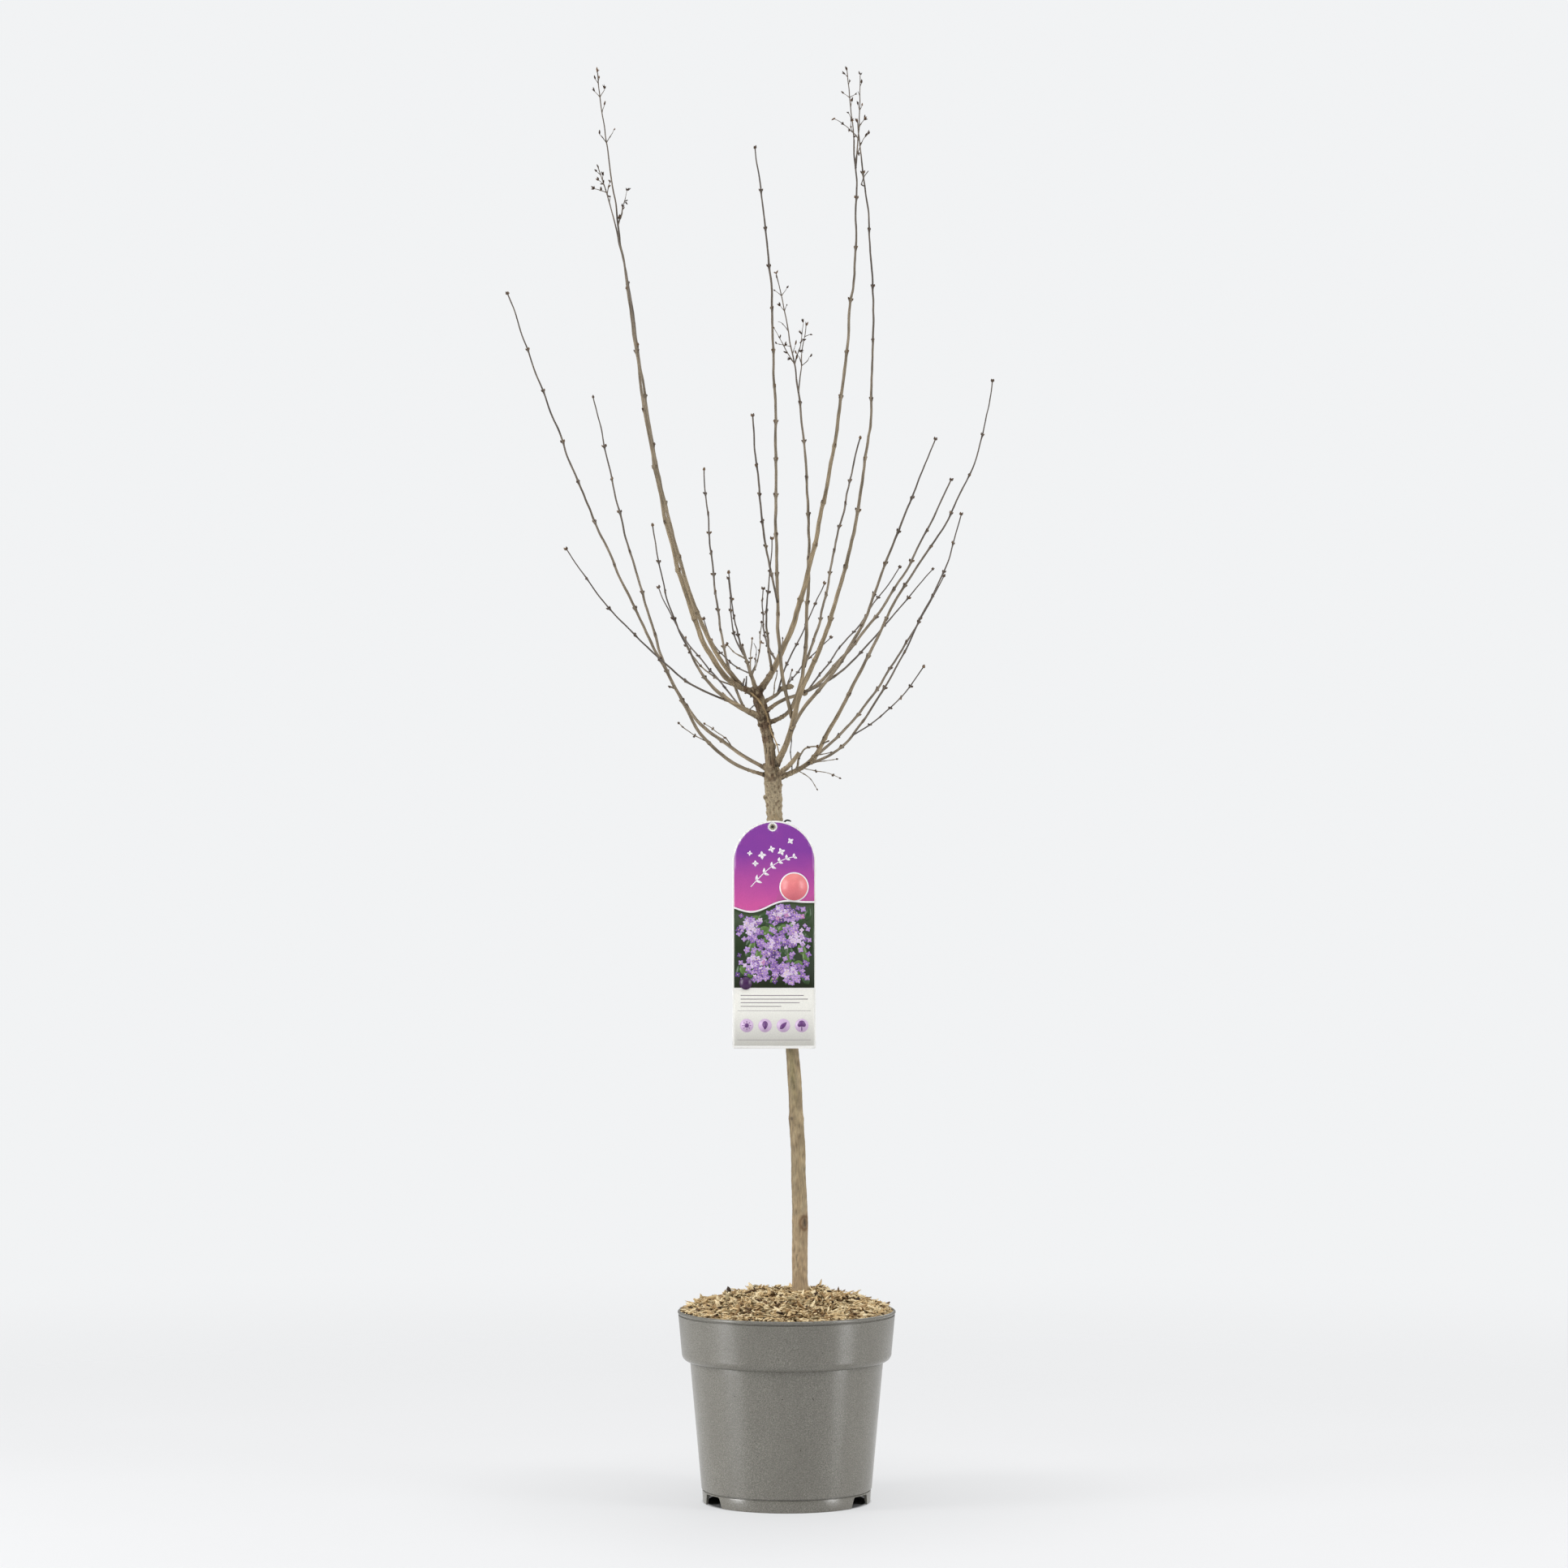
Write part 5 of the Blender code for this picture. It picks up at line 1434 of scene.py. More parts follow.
def head_skin():
    """The knotty head: swollen graft, whorls and fork grown into one body."""
    bag = Bag()
    trunk = LIMB["trunk"]
    zz = np.linspace(640.0, 801.0, 110)
    centre = np.stack([np.interp(zz, trunk.xyz[:, 2], trunk.xyz[:, k]) for k in (0, 1)] + [zz], -1)
    r = np.interp(zz, [s[0] for s in STEM], [s[3] for s in STEM])
    r = r * np.interp(zz, (640, 650, 660, 700, 740, 801), (0.84, 0.92, 0.99, 0.95, 0.97, 1.0))
    bag.add(*outward_tube(tube(centre, r, 26)))
    for name, on, *_ in LIMBS:
        limb, s_exit = LIMB[name], EXIT[name]
        if on == "trunk":
            reach = min(limb.length, s_exit + (26.0 if limb.radii[0] > 2.4 else 17.0))
        elif LIMB[on].radii[0] > 2.4 and s_exit < 40 and in_elevation(limb.xyz[0])[1] < 835:
            reach = min(limb.length, s_exit + 8.0)
        else:
            continue
        if name in ("stub_cut",):
            reach = limb.length - 9.0
        s = np.linspace(0.0, reach, 26)
        fat = np.interp(s, (0.0, s_exit, s_exit + 4.0, max(reach - 4, s_exit + 5), reach + 4),
                        (0.9, 1.26, 1.10, 0.98, 0.72))
        bag.add(*outward_tube(tube(limb.at(s), limb.radius_at(s) * fat, 16)))
    rng = np.random.default_rng(71)
    # callus rolls, pruning knobs and the knuckle
    def beside(name, x, z):
        limb = LIMB[name]
        return tuple(limb.at(limb.s_near(x, z)))
    knobs = [(beside("bough_stub_right", 1.0, 800.0), 6.6, 2.9, 2.7, -8.0),
             (beside("bough_stub_right", -4.0, 798.0), 3.0, 2.6, 2.6, 20.0),
             (beside("bough_right_mid", 18.0, 794.0), 3.0, 2.9, 3.2, 0.0),
             (beside("bough_right_low", 28.5, 730.0), 3.0, 3.0, 3.1, 0.0),
             ((-13.5, -0.5, 703.0), 8.4, 8.2, 6.4, 8.0),
             ((-11.0, -1.4, 690.0), 6.8, 7.2, 6.0, -10.0), ((-14.4, 1.8, 677.0), 5.8, 6.4, 5.0, 15.0),
             ((-10.4, 1.4, 664.0), 5.8, 6.2, 4.6, 0.0), ((-22.0, -1.0, 768.0), 6.4, 6.0, 5.6, 12.0),
             ((-27.0, 0.0, 786.0), 5.4, 5.2, 7.0, 14.0), ((-30.0, 0.0, 795.0), 6.0, 4.6, 4.6, 30.0),
             ((-14.0, -4.5, 719.0), 4.6, 3.8, 4.6, 20.0), ((-20.0, 3.0, 722.0), 4.4, 4.0, 3.8, -20.0),
             ((-17.5, 1.0, 741.0), 5.2, 4.9, 3.2, 10.0), ((-26.0, -3.2, 764.0), 2.4, 2.4, 3.2, 40.0)]
    for c, rx, ry, rz, tilt in knobs:
        bag.add(*ball(c, rx, ry, rz, tilt))
    for _ in range(34):
        z = rng.uniform(656, 798)
        c = np.array([np.interp(z, trunk.xyz[:, 2], trunk.xyz[:, k]) for k in (0, 1)] + [z])
        rr = float(np.interp(z, [s[0] for s in STEM], [s[3] for s in STEM]))
        a = rng.uniform(0, TAU)
        size = rng.uniform(1.4, 2.9)
        bag.add(*ball(c + (rr - size * 0.42) * np.array([math.cos(a), math.sin(a), 0.0]),
                      size * rng.uniform(0.8, 1.3), size, size * rng.uniform(0.7, 1.5), rng.uniform(-50, 50)))
    obj = bpy.data.objects.new("head_blank", bag.mesh("head_blank"))
    bpy.context.scene.collection.objects.link(obj)
    mod = obj.modifiers.new("grow", "REMESH")
    mod.mode, mod.voxel_size = "VOXEL", 0.56 * MM
    mod.adaptivity = 0.0
    ease = obj.modifiers.new("ease", "SMOOTH")
    ease.iterations, ease.factor = 4, 0.5
    mesh = baked(obj)
    n = len(mesh.vertices)
    co = np.empty(n * 3, np.float32)
    mesh.vertices.foreach_get("co", co)
    co = co.reshape(-1, 3).astype(float) / MM
    no = np.empty(n * 3, np.float32)
    mesh.vertex_normals.foreach_get("vector", no)
    no = no.reshape(-1, 3)
    z = co[:, 2]
    graft = smooth(650.0, 660.0, z) * smooth(722.0, 700.0, z)
    upper = smooth(704.0, 722.0, z)
    lumpy = Waves(72, 20)(co, 5.2)
    crumb = Waves(73, 26)(co, 2.0)
    gritty = Waves(74, 26)(co, (1.4, 1.4, 1.7))
    long_ridge = Waves(75, 24)(co, (2.6, 2.6, 24.0))
    fissure = smooth(0.9, 2.1, -(long_ridge * 0.9 + crumb * 0.22))
    push = (graft * (0.34 * lumpy + 0.08 * crumb + 0.05 * gritty + 0.24 * long_ridge)
            + upper * (0.22 * long_ridge + 0.07 * crumb + 0.06 * gritty - 0.24 * fissure)
            + (1 - graft) * (1 - upper) * 0.12 * crumb)
    co = co + no * push[:, None]
    mesh.vertices.foreach_set("co", (co * MM).astype(np.float32).ravel())
    mesh.update()
    # colour
    tone = np.broadcast_to(STEM_TONE, co.shape).copy()
    brown = np.array(linear(88, 64, 45)[:3])
    tone = blend_tones(tone, WARM, upper)
    edge = smooth(-0.5, 0.6, (z - 662.0) / 8.0 + 0.5 * lumpy) * smooth(-0.5, 0.6, (712.0 - z) / 9.0 + 0.5 * lumpy)
    tone = blend_tones(tone, CALLUS, 0.85 * edge)
    tone = blend_tones(tone, brown, np.clip(0.7 * smooth(-0.2, 1.2, Waves(76, 12)(co, (8, 8, 14))) * upper, 0, 1))
    # painted shade in the forks of the head, broken up by a mottle
    painted_fork_shade = np.zeros(n)
    for cx, cz, reach in ((-29.0, 797.0, 13.0), (-23.0, 770.0, 11.0), (-12.0, 713.0, 9.0)):
        painted_fork_shade = np.maximum(painted_fork_shade, np.exp(-((co[:, 0] - cx) ** 2 + (z - cz) ** 2) / reach ** 2))
    tone = blend_tones(tone, np.array(linear(66, 47, 33)[:3]),
                       np.clip(0.85 * painted_fork_shade * smooth(-1.2, 1.0, Waves(77, 14)(co, (4.5, 4.5, 7.0))), 0, 1))
    tone = blend_tones(tone, DARK, np.clip(0.8 * fissure * upper, 0, 1))
    tone = blend_tones(tone, brown, np.clip(0.6 * smooth(0.5, 1.6, -lumpy) * graft, 0, 1))
    tone = blend_tones(tone, DARK, np.clip(0.35 * smooth(1.2, 2.0, -crumb) * graft, 0, 1))
    knuckle = np.exp(-(((co[:, 0] - 2) / 7) ** 2 + ((z - 800.4) / 5) ** 2) ** 2)
    knuckle = np.maximum(knuckle, np.exp(-(((co[:, 0] - 18) / 4.2) ** 2 + ((z - 791.8) / 4.2) ** 2) ** 2))
    knuckle = np.maximum(knuckle, np.exp(-(((co[:, 0] - 28.5) / 3.8) ** 2 + ((z - 727.8) / 3.8) ** 2) ** 2))
    tone = blend_tones(tone, CALLUS, 0.7 * knuckle)
    tone = tone * (1.0 + 0.07 * crumb + 0.05 * gritty)[:, None]
    put_colours(mesh, "tone", tone)
    put_vectors(mesh, "run", co)
    mesh.shade_smooth()
    mesh.name = "head_bark"
    return mesh


# ------------------------------------------------------------------- the tag
def tag_bow(x, z):
    """How far the card curls back from flat at its edges and foot."""
    u = (x - TAG_X) / (TAG_WIDTH / 2)
    w = (z - 560.0) / 110.0
    return 1.25 * u * u * (0.6 + 0.4 * (1 - w) * 0.5) - 0.25 * w * w


def plate(bag, outline, level, thick=0.22, step=5.0):
    """A thin closed plate on the card's face that follows its curl."""
    bm = bmesh.new()
    ring = [bm.verts.new((x, 0.0, z)) for x, z in outline]
    bm.faces.new(ring)
    xs = [p[0] for p in outline]
    x = math.ceil(min(xs) / step) * step
    while x < max(xs):
        bmesh.ops.bisect_plane(bm, geom=bm.verts[:] + bm.edges[:] + bm.faces[:], dist=1e-4,
                               plane_co=(x, 0, 0), plane_no=(1, 0, 0))
        x += step
    bmesh.ops.triangulate(bm, faces=bm.faces[:])
    bm.verts.index_update()
    front = np.array([v.co[:] for v in bm.verts])
    faces = np.array([[v.index for v in f.verts] for f in bm.faces])
    corner = [front[faces[:, k]] for k in range(3)]
    if np.cross(corner[1] - corner[0], corner[2] - corner[0])[:, 1].sum() > 0:
        faces = faces[:, ::-1]
    rim = [(e.verts[0].index, e.verts[1].index) for e in bm.edges if len(e.link_faces) == 1]
    n = len(front)
    y = TAG_FRONT - 0.07 * level
    bow = tag_bow(front[:, 0], front[:, 2])
    a = np.stack([front[:, 0], y + bow, front[:, 2]], -1)
    b = np.stack([front[:, 0], y + thick + bow, front[:, 2]], -1)
    walls = []
    order = {}
    for f in faces:
        for p, q in ((f[0], f[1]), (f[1], f[2]), (f[2], f[0])):
            order[(int(p), int(q))] = True
    for p, q in rim:
        if (p, q) not in order:
            p, q = q, p
        walls.append((q, p, p + n, q + n))
    bag.add(np.concatenate([a, b]), np.array(walls), np.concatenate([faces, faces[:, ::-1] + n]))
    bm.free()


def plate_piece(name, outlines, level, mat, thick=0.22, step=5.0, stands_for=()):
    bag = Bag()
    for n, outline in enumerate(outlines):
        plate(bag, outline, level if np.isscalar(level) else level[n], thick, step)
    return add_piece(name, bag.mesh(name, smooth_faces=False), mat, stands_for)


def arch(inset, low=TAG_BOTTOM, round_r=1.5, n=64):
    half = TAG_WIDTH / 2 - inset
    out = [(TAG_X - half, low + round_r), (TAG_X - half + round_r, low),
           (TAG_X + half - round_r, low), (TAG_X + half, low + round_r)]
    return out + [(TAG_X + half * math.cos(math.pi * k / n), TAG_ARCH_Z + half * math.sin(math.pi * k / n))
                  for k in range(n + 1)]


def disc(x, z, r, n=40, squash=1.0):
    return [(x + r * math.cos(TAU * k / n), z + squash * r * math.sin(TAU * k / n)) for k in range(n)]


def petal(x, z, length, width, angle, n=7):
    a = math.radians(angle)
    ca, sa = math.cos(a), math.sin(a)
    ts = np.linspace(0, 1, n)
    half = [math.sin(math.pi * t ** 0.75) ** 0.8 * width / 2 if 0 < t < 1 else 0.0 for t in ts]
    side = [(t * length, h) for t, h in zip(ts, half)] + [(t * length, -h) for t, h in
                                                          list(zip(ts, half))[-2:0:-1]]
    return [(x + u * ca - v * sa, z + u * sa + v * ca) for u, v in side]


def with_eyelet(outline, r):
    """The outline with the eyelet cut out by a seam that closes on itself."""
    bm = bmesh.new()
    outer = [bm.verts.new((x, 0, z)) for x, z in outline]
    hole = [bm.verts.new((x, 0, z)) for x, z in disc(*EYELET, r, 28)]
    edges = [bm.edges.new((a, b)) for loop in (outer, hole)
             for a, b in zip(loop, loop[1:] + loop[:1])]
    bmesh.ops.triangle_fill(bm, use_beauty=True, use_dissolve=False, edges=edges)
    return bm


def holed_plate(name, outline, r, level, thick, mat, stands_for=()):
    bm = with_eyelet(outline, r)
    # drop faces inside the eyelet
    inside = [f for f in bm.faces if math.hypot(f.calc_center_median().x - EYELET[0],
                                                f.calc_center_median().z - EYELET[1]) < r * 0.9
              and all(math.hypot(v.co.x - EYELET[0], v.co.z - EYELET[1]) < r * 1.01 for v in f.verts)]
    bmesh.ops.delete(bm, geom=inside, context="FACES_ONLY")
    x = math.ceil(min(p[0] for p in outline) / 4.0) * 4.0
    while x < max(p[0] for p in outline):
        bmesh.ops.bisect_plane(bm, geom=bm.verts[:] + bm.edges[:] + bm.faces[:], dist=1e-4,
                               plane_co=(x, 0, 0), plane_no=(1, 0, 0))
        x += 4.0
    for z in range(460, 669, 14):
        bmesh.ops.bisect_plane(bm, geom=bm.verts[:] + bm.edges[:] + bm.faces[:], dist=1e-4,
                               plane_co=(0, 0, z), plane_no=(0, 0, 1))
    bmesh.ops.triangulate(bm, faces=bm.faces[:])
    bmesh.ops.recalc_face_normals(bm, faces=bm.faces[:])
    if sum(f.normal.y * f.calc_area() for f in bm.faces) > 0:
        bmesh.ops.reverse_faces(bm, faces=bm.faces[:])
    bm.verts.index_update()
    front = np.array([v.co[:] for v in bm.verts])
    faces = np.array([[v.index for v in f.verts] for f in bm.faces])
    order = {(int(f[i]), int(f[(i + 1) % 3])) for f in faces for i in range(3)}
    rim = [(e.verts[0].index, e.verts[1].index) for e in bm.edges if len(e.link_faces) == 1]
    n = len(front)
    bow = tag_bow(front[:, 0], front[:, 2])
    y = TAG_FRONT - 0.07 * level
    a = np.stack([front[:, 0], y + bow, front[:, 2]], -1)
    b = np.stack([front[:, 0], y + thick + bow, front[:, 2]], -1)
    walls = [((q, p, p + n, q + n) if (p, q) in order else (p, q, q + n, p + n)) for p, q in rim]
    bag = Bag()
    bag.add(np.concatenate([a, b]), np.array(walls), np.concatenate([faces, faces[:, ::-1] + n]))
    bm.free()
    return add_piece(name, bag.mesh(name, smooth_faces=False), mat, stands_for)


def wave_line(x, base, lift, phase=0.0):
    u = (x - TAG_X) / (TAG_WIDTH / 2)
    return base + lift * math.sin(u * 2.4 + phase) + 0.35 * lift * math.sin(u * 5.2 + 1.0)


def build_tag():
    half = TAG_WIDTH / 2 - 1.6
    xs = [TAG_X - half + 2 * half * k / 40 for k in range(41)]
    white = card_stock("card_white", linear(236, 235, 232))
    holed_plate("tag_card", arch(0.0), EYELET_R, 0, TAG_THICK, white, ("tag",))

    # the arched field above a wave
    base, lift = 586.0, 5.0
    top = [(TAG_X + half * math.cos(math.pi * k / 60), TAG_ARCH_Z + half * math.sin(math.pi * k / 60))
           for k in range(61)]
    field = top + [(x, wave_line(x, base, lift)) for x in xs]
    holed_plate("tag_field", field, EYELET_R + 1.9, 1, 0.2,
                card_stock("ink_purple", linear(206, 88, 158), linear(134, 62, 158), 584.0, 640.0))
    # the picture: blossom over dark leaves, down to the panel
    picture = [(x, wave_line(x, base - 0.9, lift)) for x in xs]
    picture += [(TAG_X + half, 505.0), (TAG_X - half, 505.0)]
    plate_piece("tag_leafage", [picture], 1, card_stock("ink_leaf", linear(30, 44, 26), linear(48, 66, 34),
                                                       505.0, 590.0))
    rng = np.random.default_rng(81)

    def inside(x, z, r):
        return (abs(x - TAG_X) < half - r and z - r > 505.8 and z + r < wave_line(x, base - 1.2, lift))
    leaves_a, leaves_b = [], []
    for _ in range(300):
        x, z = TAG_X + rng.uniform(-half, half), rng.uniform(505, 592)
        ln, an = rng.uniform(9, 17), rng.uniform(0, 360)
        tip = (x + ln * math.cos(math.radians(an)), z + ln * math.sin(math.radians(an)))
        if inside(x, z, 2.5) and inside(*tip, 1.0) and len(leaves_a) + len(leaves_b) < 60:
            (leaves_a if rng.uniform() < 0.5 else leaves_b).append(petal(x, z, ln, ln * 0.55, an, 9))
    plate_piece("tag_leaves_deep", leaves_a, [2 + 0.12 * (k % 5) for k in range(len(leaves_a))],
                card_stock("ink_leaf_deep", linear(44, 74, 34)), 0.15)
    plate_piece("tag_leaves_light", leaves_b, [2.6 + 0.12 * (k % 5) for k in range(len(leaves_b))],
                card_stock("ink_leaf_light", linear(84, 116, 52)), 0.15)
    # clusters of four-petalled blossom in a few lilac tints
    tints = (("pale", (214, 192, 226)), ("light", (176, 140, 204)), ("mid", (138, 98, 174)),
             ("deep", (94, 60, 132)), ("rose", (190, 126, 188)))
    sets = {name: [] for name, _ in tints}
    levels = {name: [] for name, _ in tints}
    hearts = []
    heaps = ((TAG_X - 24, 566, 17, 15), (TAG_X + 22, 556, 18, 22), (TAG_X - 17, 527, 21, 18),
             (TAG_X + 6, 579, 14, 9), (TAG_X + 14, 520, 16, 12), (TAG_X - 2, 548, 11, 14))
    count = 0
    for _ in range(3000):
        hx, hz, hw, hh = heaps[int(rng.integers(0, len(heaps)))]
        x, z = hx + rng.normal(0, 0.5) * hw, hz + rng.normal(0, 0.5) * hh
        r = rng.uniform(2.1, 3.5)
        if not inside(x, z, r + 0.2) or count >= 420:
            continue
        level = 3.6 + count * 0.006
        d = math.hypot((x - hx) / hw, (z - hz) / hh)
        name = tints[min(4, int(abs(rng.normal(0, 1.3)) + d * 1.2))][0]
        turn = rng.uniform(0, 90)
        for q in range(4):
            sets[name].append(petal(x, z, r, r * 0.78, turn + 90 * q, 6))
            levels[name].append(level + 0.003 * q)
        hearts.append((disc(x, z, r * 0.14, 8), level + 0.4))
        count += 1
    for name, colour in tints:
        if sets[name]:
            plate_piece("tag_blossom_" + name, sets[name], levels[name],
                        card_stock("ink_" + name, linear(*colour), rough=0.36), 0.12, 12.0)
    plate_piece("tag_blossom_hearts", [h[0] for h in hearts], [h[1] for h in hearts],
                card_stock("ink_heart", linear(246, 226, 150)), 0.1, 20.0)

    # a white sprig on the purple: curved stem, leaves and four-petalled stars
    sprig, stars = [], []
    stem = [(TAG_X - 23 + 44 * t, 604 + 25 * t + 9 * math.sin(t * 2.6)) for t in np.linspace(0, 1, 25)]
    left, right = [], []
    for (ax, az), (bx, bz) in zip(stem, stem[1:] + [(2 * stem[-1][0] - stem[-2][0],
                                                     2 * stem[-1][1] - stem[-2][1])]):
        ln = math.hypot(bx - ax, bz - az)
        nx, nz = -(bz - az) / ln * 0.42, (bx - ax) / ln * 0.42
        left.append((ax + nx, az + nz))
        right.append((ax - nx, az - nz))
    sprig.append(left + right[::-1])
    for k in range(3, 24, 4):
        x, z = stem[k]
        for way in (1, -1):
            sprig.append(petal(x, z, 6.4 - 0.12 * k, 2.5, 32 + way * 52, 8))
    for x, z, r in ((-16, 634, 4.2), (-6.5, 640, 3.6), (3, 637.5, 4.0), (-22.5, 626, 3.3), (12, 648, 3.4),
                    (-28, 636, 2.7)):
        for q in range(4):
            stars.append(petal(TAG_X + x + 4, z + 1, r, r * 0.66, 22 + 90 * q + x, 7))
    plate_piece("tag_sprig", sprig + stars, 2, card_stock("ink_white", linear(240, 234, 240)), 0.14, 9.0)
    # band along the wave
    band = ([(x, wave_line(x, base + 0.9, lift)) for x in xs]
            + [(x, wave_line(x, base - 0.9, lift)) for x in xs[::-1]])
    plate_piece("tag_wave_line", [band], 5.8, card_stock("ink_line", linear(238, 232, 236)), 0.3, 4.0)

    # the panel at the foot, its rules and small pictures
    panel = [(TAG_X - half, 448.2), (TAG_X + half, 448.2), (TAG_X + half, 503.6), (TAG_X - half, 503.6)]
    plate_piece("tag_panel", [panel], 1, card_stock("ink_cream", linear(229, 228, 221)))
    rules = []
    for k, z in enumerate((497.2, 493.6, 490.0, 486.4)):
        w = (62, 66, 58, 40)[k]
        rules.append([(TAG_X - 33, z), (TAG_X - 33 + w, z), (TAG_X - 33 + w, z + 0.75), (TAG_X - 33, z + 0.75)])
    for z in (482.4, 453.6):
        rules.append([(TAG_X - 36, z), (TAG_X + 36, z), (TAG_X + 36, z + 0.35), (TAG_X - 36, z + 0.35)])
    plate_piece("tag_rules", rules, 2, card_stock("ink_rule", linear(142, 132, 138)), 0.12, 8.0)
    icons, tint = [], []
    for k in range(4):
        x = TAG_X - 27 + 18 * k
        tint.append(disc(x, 468.0, 6.6, 36))
        if k == 0:                               # a sun
            icons.append(disc(x, 468, 2.2, 20))
            icons += [petal(x + 2.7 * math.cos(math.radians(a)), 468 + 2.7 * math.sin(math.radians(a)),
                            2.0, 0.7, a, 5) for a in range(0, 360, 45)]
        elif k == 1:                             # a drop
            icons.append(petal(x, 472.6, 8.6, 5.4, -90, 11))
        elif k == 2:                             # a leaf
            icons += [petal(x - 3.4, 464.6, 9.6, 4.2, 45, 9)]
        else:                                    # a small bush on its stem
            icons += [disc(x, 470.0, 3.3, 24, 0.9), disc(x - 2.2, 468.6, 2.0, 16), disc(x + 2.2, 468.6, 2.0, 16),
                      [(x - 0.5, 463), (x + 0.5, 463), (x + 0.4, 468), (x - 0.4, 468)]]
    plate_piece("tag_icon_grounds", tint, 2, card_stock("ink_icon_ground", linear(206, 178, 212)), 0.12, 6.0)
    plate_piece("tag_icons", icons, [2.6 + 0.2 * (k % 3) for k in range(len(icons))],
                card_stock("ink_icon", linear(104, 56, 122)), 0.12, 12.0)
    # a bare round spot and a small dark dot
    plate_piece("tag_spot", [disc(TAG_X + 19.5, 604.0, 13.2, 56)], 6.6,
                card_stock("ink_coral", linear(226, 112, 128), linear(236, 140, 136), 590, 618), 0.4, 4.0)
    plate_piece("tag_spot_ring", [disc(TAG_X + 19.5, 604.0, 14.4, 56)], 6.2,
                card_stock("ink_ring", linear(240, 236, 238)), 0.4, 4.0)
    plate_piece("tag_dot", [disc(TAG_X - 28.0, 509.5, 6.2, 40)], 7.2,
                card_stock("ink_plum", linear(66, 30, 78)), 0.5, 4.0)
    # eyelet
    bag = Bag()
    rings, sides = 14, 44
    phi = TAU * np.arange(rings) / rings
    th = TAU * np.arange(sides) / sides
    rr = 2.1 + 0.95 * np.cos(phi)
    yy = TAG_FRONT + 0.36 + 0.62 * np.sin(phi) + float(tag_bow(EYELET[0], EYELET[1]))
    v = np.stack([EYELET[0] + rr[:, None] * np.cos(th), np.repeat(yy[:, None], sides, 1),
                  EYELET[1] + rr[:, None] * np.sin(th)], -1)
    v = np.concatenate([v, v[:1]])
    q = ring_faces(rings, sides)
    close = np.stack([(rings - 1) * sides + np.arange(sides),
                      (rings - 1) * sides + (np.arange(sides) + 1) % sides,
                      (np.arange(sides) + 1) % sides, np.arange(sides)], -1)
    bag.add(v[:-1].reshape(-1, 3), np.concatenate([q, close]))
    mesh = bag.mesh("tag_eyelet")
    bm = bmesh.new()
    bm.from_mesh(mesh)
    bmesh.ops.recalc_face_normals(bm, faces=bm.faces[:])
    bm.to_mesh(mesh)
    bm.free()
    add_piece("tag_eyelet", mesh, moulded("eyelet_plastic", linear(126, 120, 102), linear(170, 164, 142)))


def strap(points, widths, thick, name=None, normal=(0.0, -1.0, 0.0)):
    """A flat strap with rounded edges along a path of points."""
    p = np.asarray(points, float)
    along = np.gradient(p, axis=0)
    along /= np.linalg.norm(along, axis=1)[:, None]
    nrm = np.asarray(normal, float)
    if nrm.ndim == 1:
        nrm = np.repeat(nrm[None], len(p), 0)
    nrm = nrm - along * np.einsum("ij,ij->i", nrm, along)[:, None]
    nrm /= np.linalg.norm(nrm, axis=1)[:, None]
    across = np.cross(along, nrm)
    widths = np.broadcast_to(widths, len(p))
    e = min(0.4, thick * 0.45)
    section = [(-1, -1, e, 0), (-1, 1, e, 0), (1, 1, e, 0), (1, -1, e, 0)]
    out = []
    for u0, v0, ee, _ in section:
        for k in range(3):
            a = math.radians({(-1, -1): 270, (-1, 1): 180, (1, 1): 90, (1, -1): 0}[(u0, v0)] - 45 * k)
            out.append((u0, v0, ee * math.cos(a), ee * math.sin(a)))
    ring = []
    for u0, v0, du, dv in out:
        cu = u0 * (widths / 2 - e) + du
        cv = v0 * (thick / 2 - e) + dv
        ring.append(p + across * cu[:, None] + nrm * np.full(len(p), cv)[:, None])
    v = np.stack(ring, 1)
    sides = len(out)
    verts = v.reshape(-1, 3)
    k = np.arange(sides)
    j = (k + 1) % sides
    n = len(p)
    verts = np.concatenate([verts, p[:1], p[-1:]])
    tris = np.concatenate([np.stack([np.full(sides, n * sides), j, k], -1),
                           np.stack([np.full(sides, n * sides + 1), (n - 1) * sides + k,
                                     (n - 1) * sides + j], -1)])
    return verts, ring_faces(n, sides), tris


def fixed_normals(mesh):
    bm = bmesh.new()
    bm.from_mesh(mesh)
    bmesh.ops.recalc_face_normals(bm, faces=bm.faces[:])
    bm.to_mesh(mesh)
    bm.free()
    return mesh


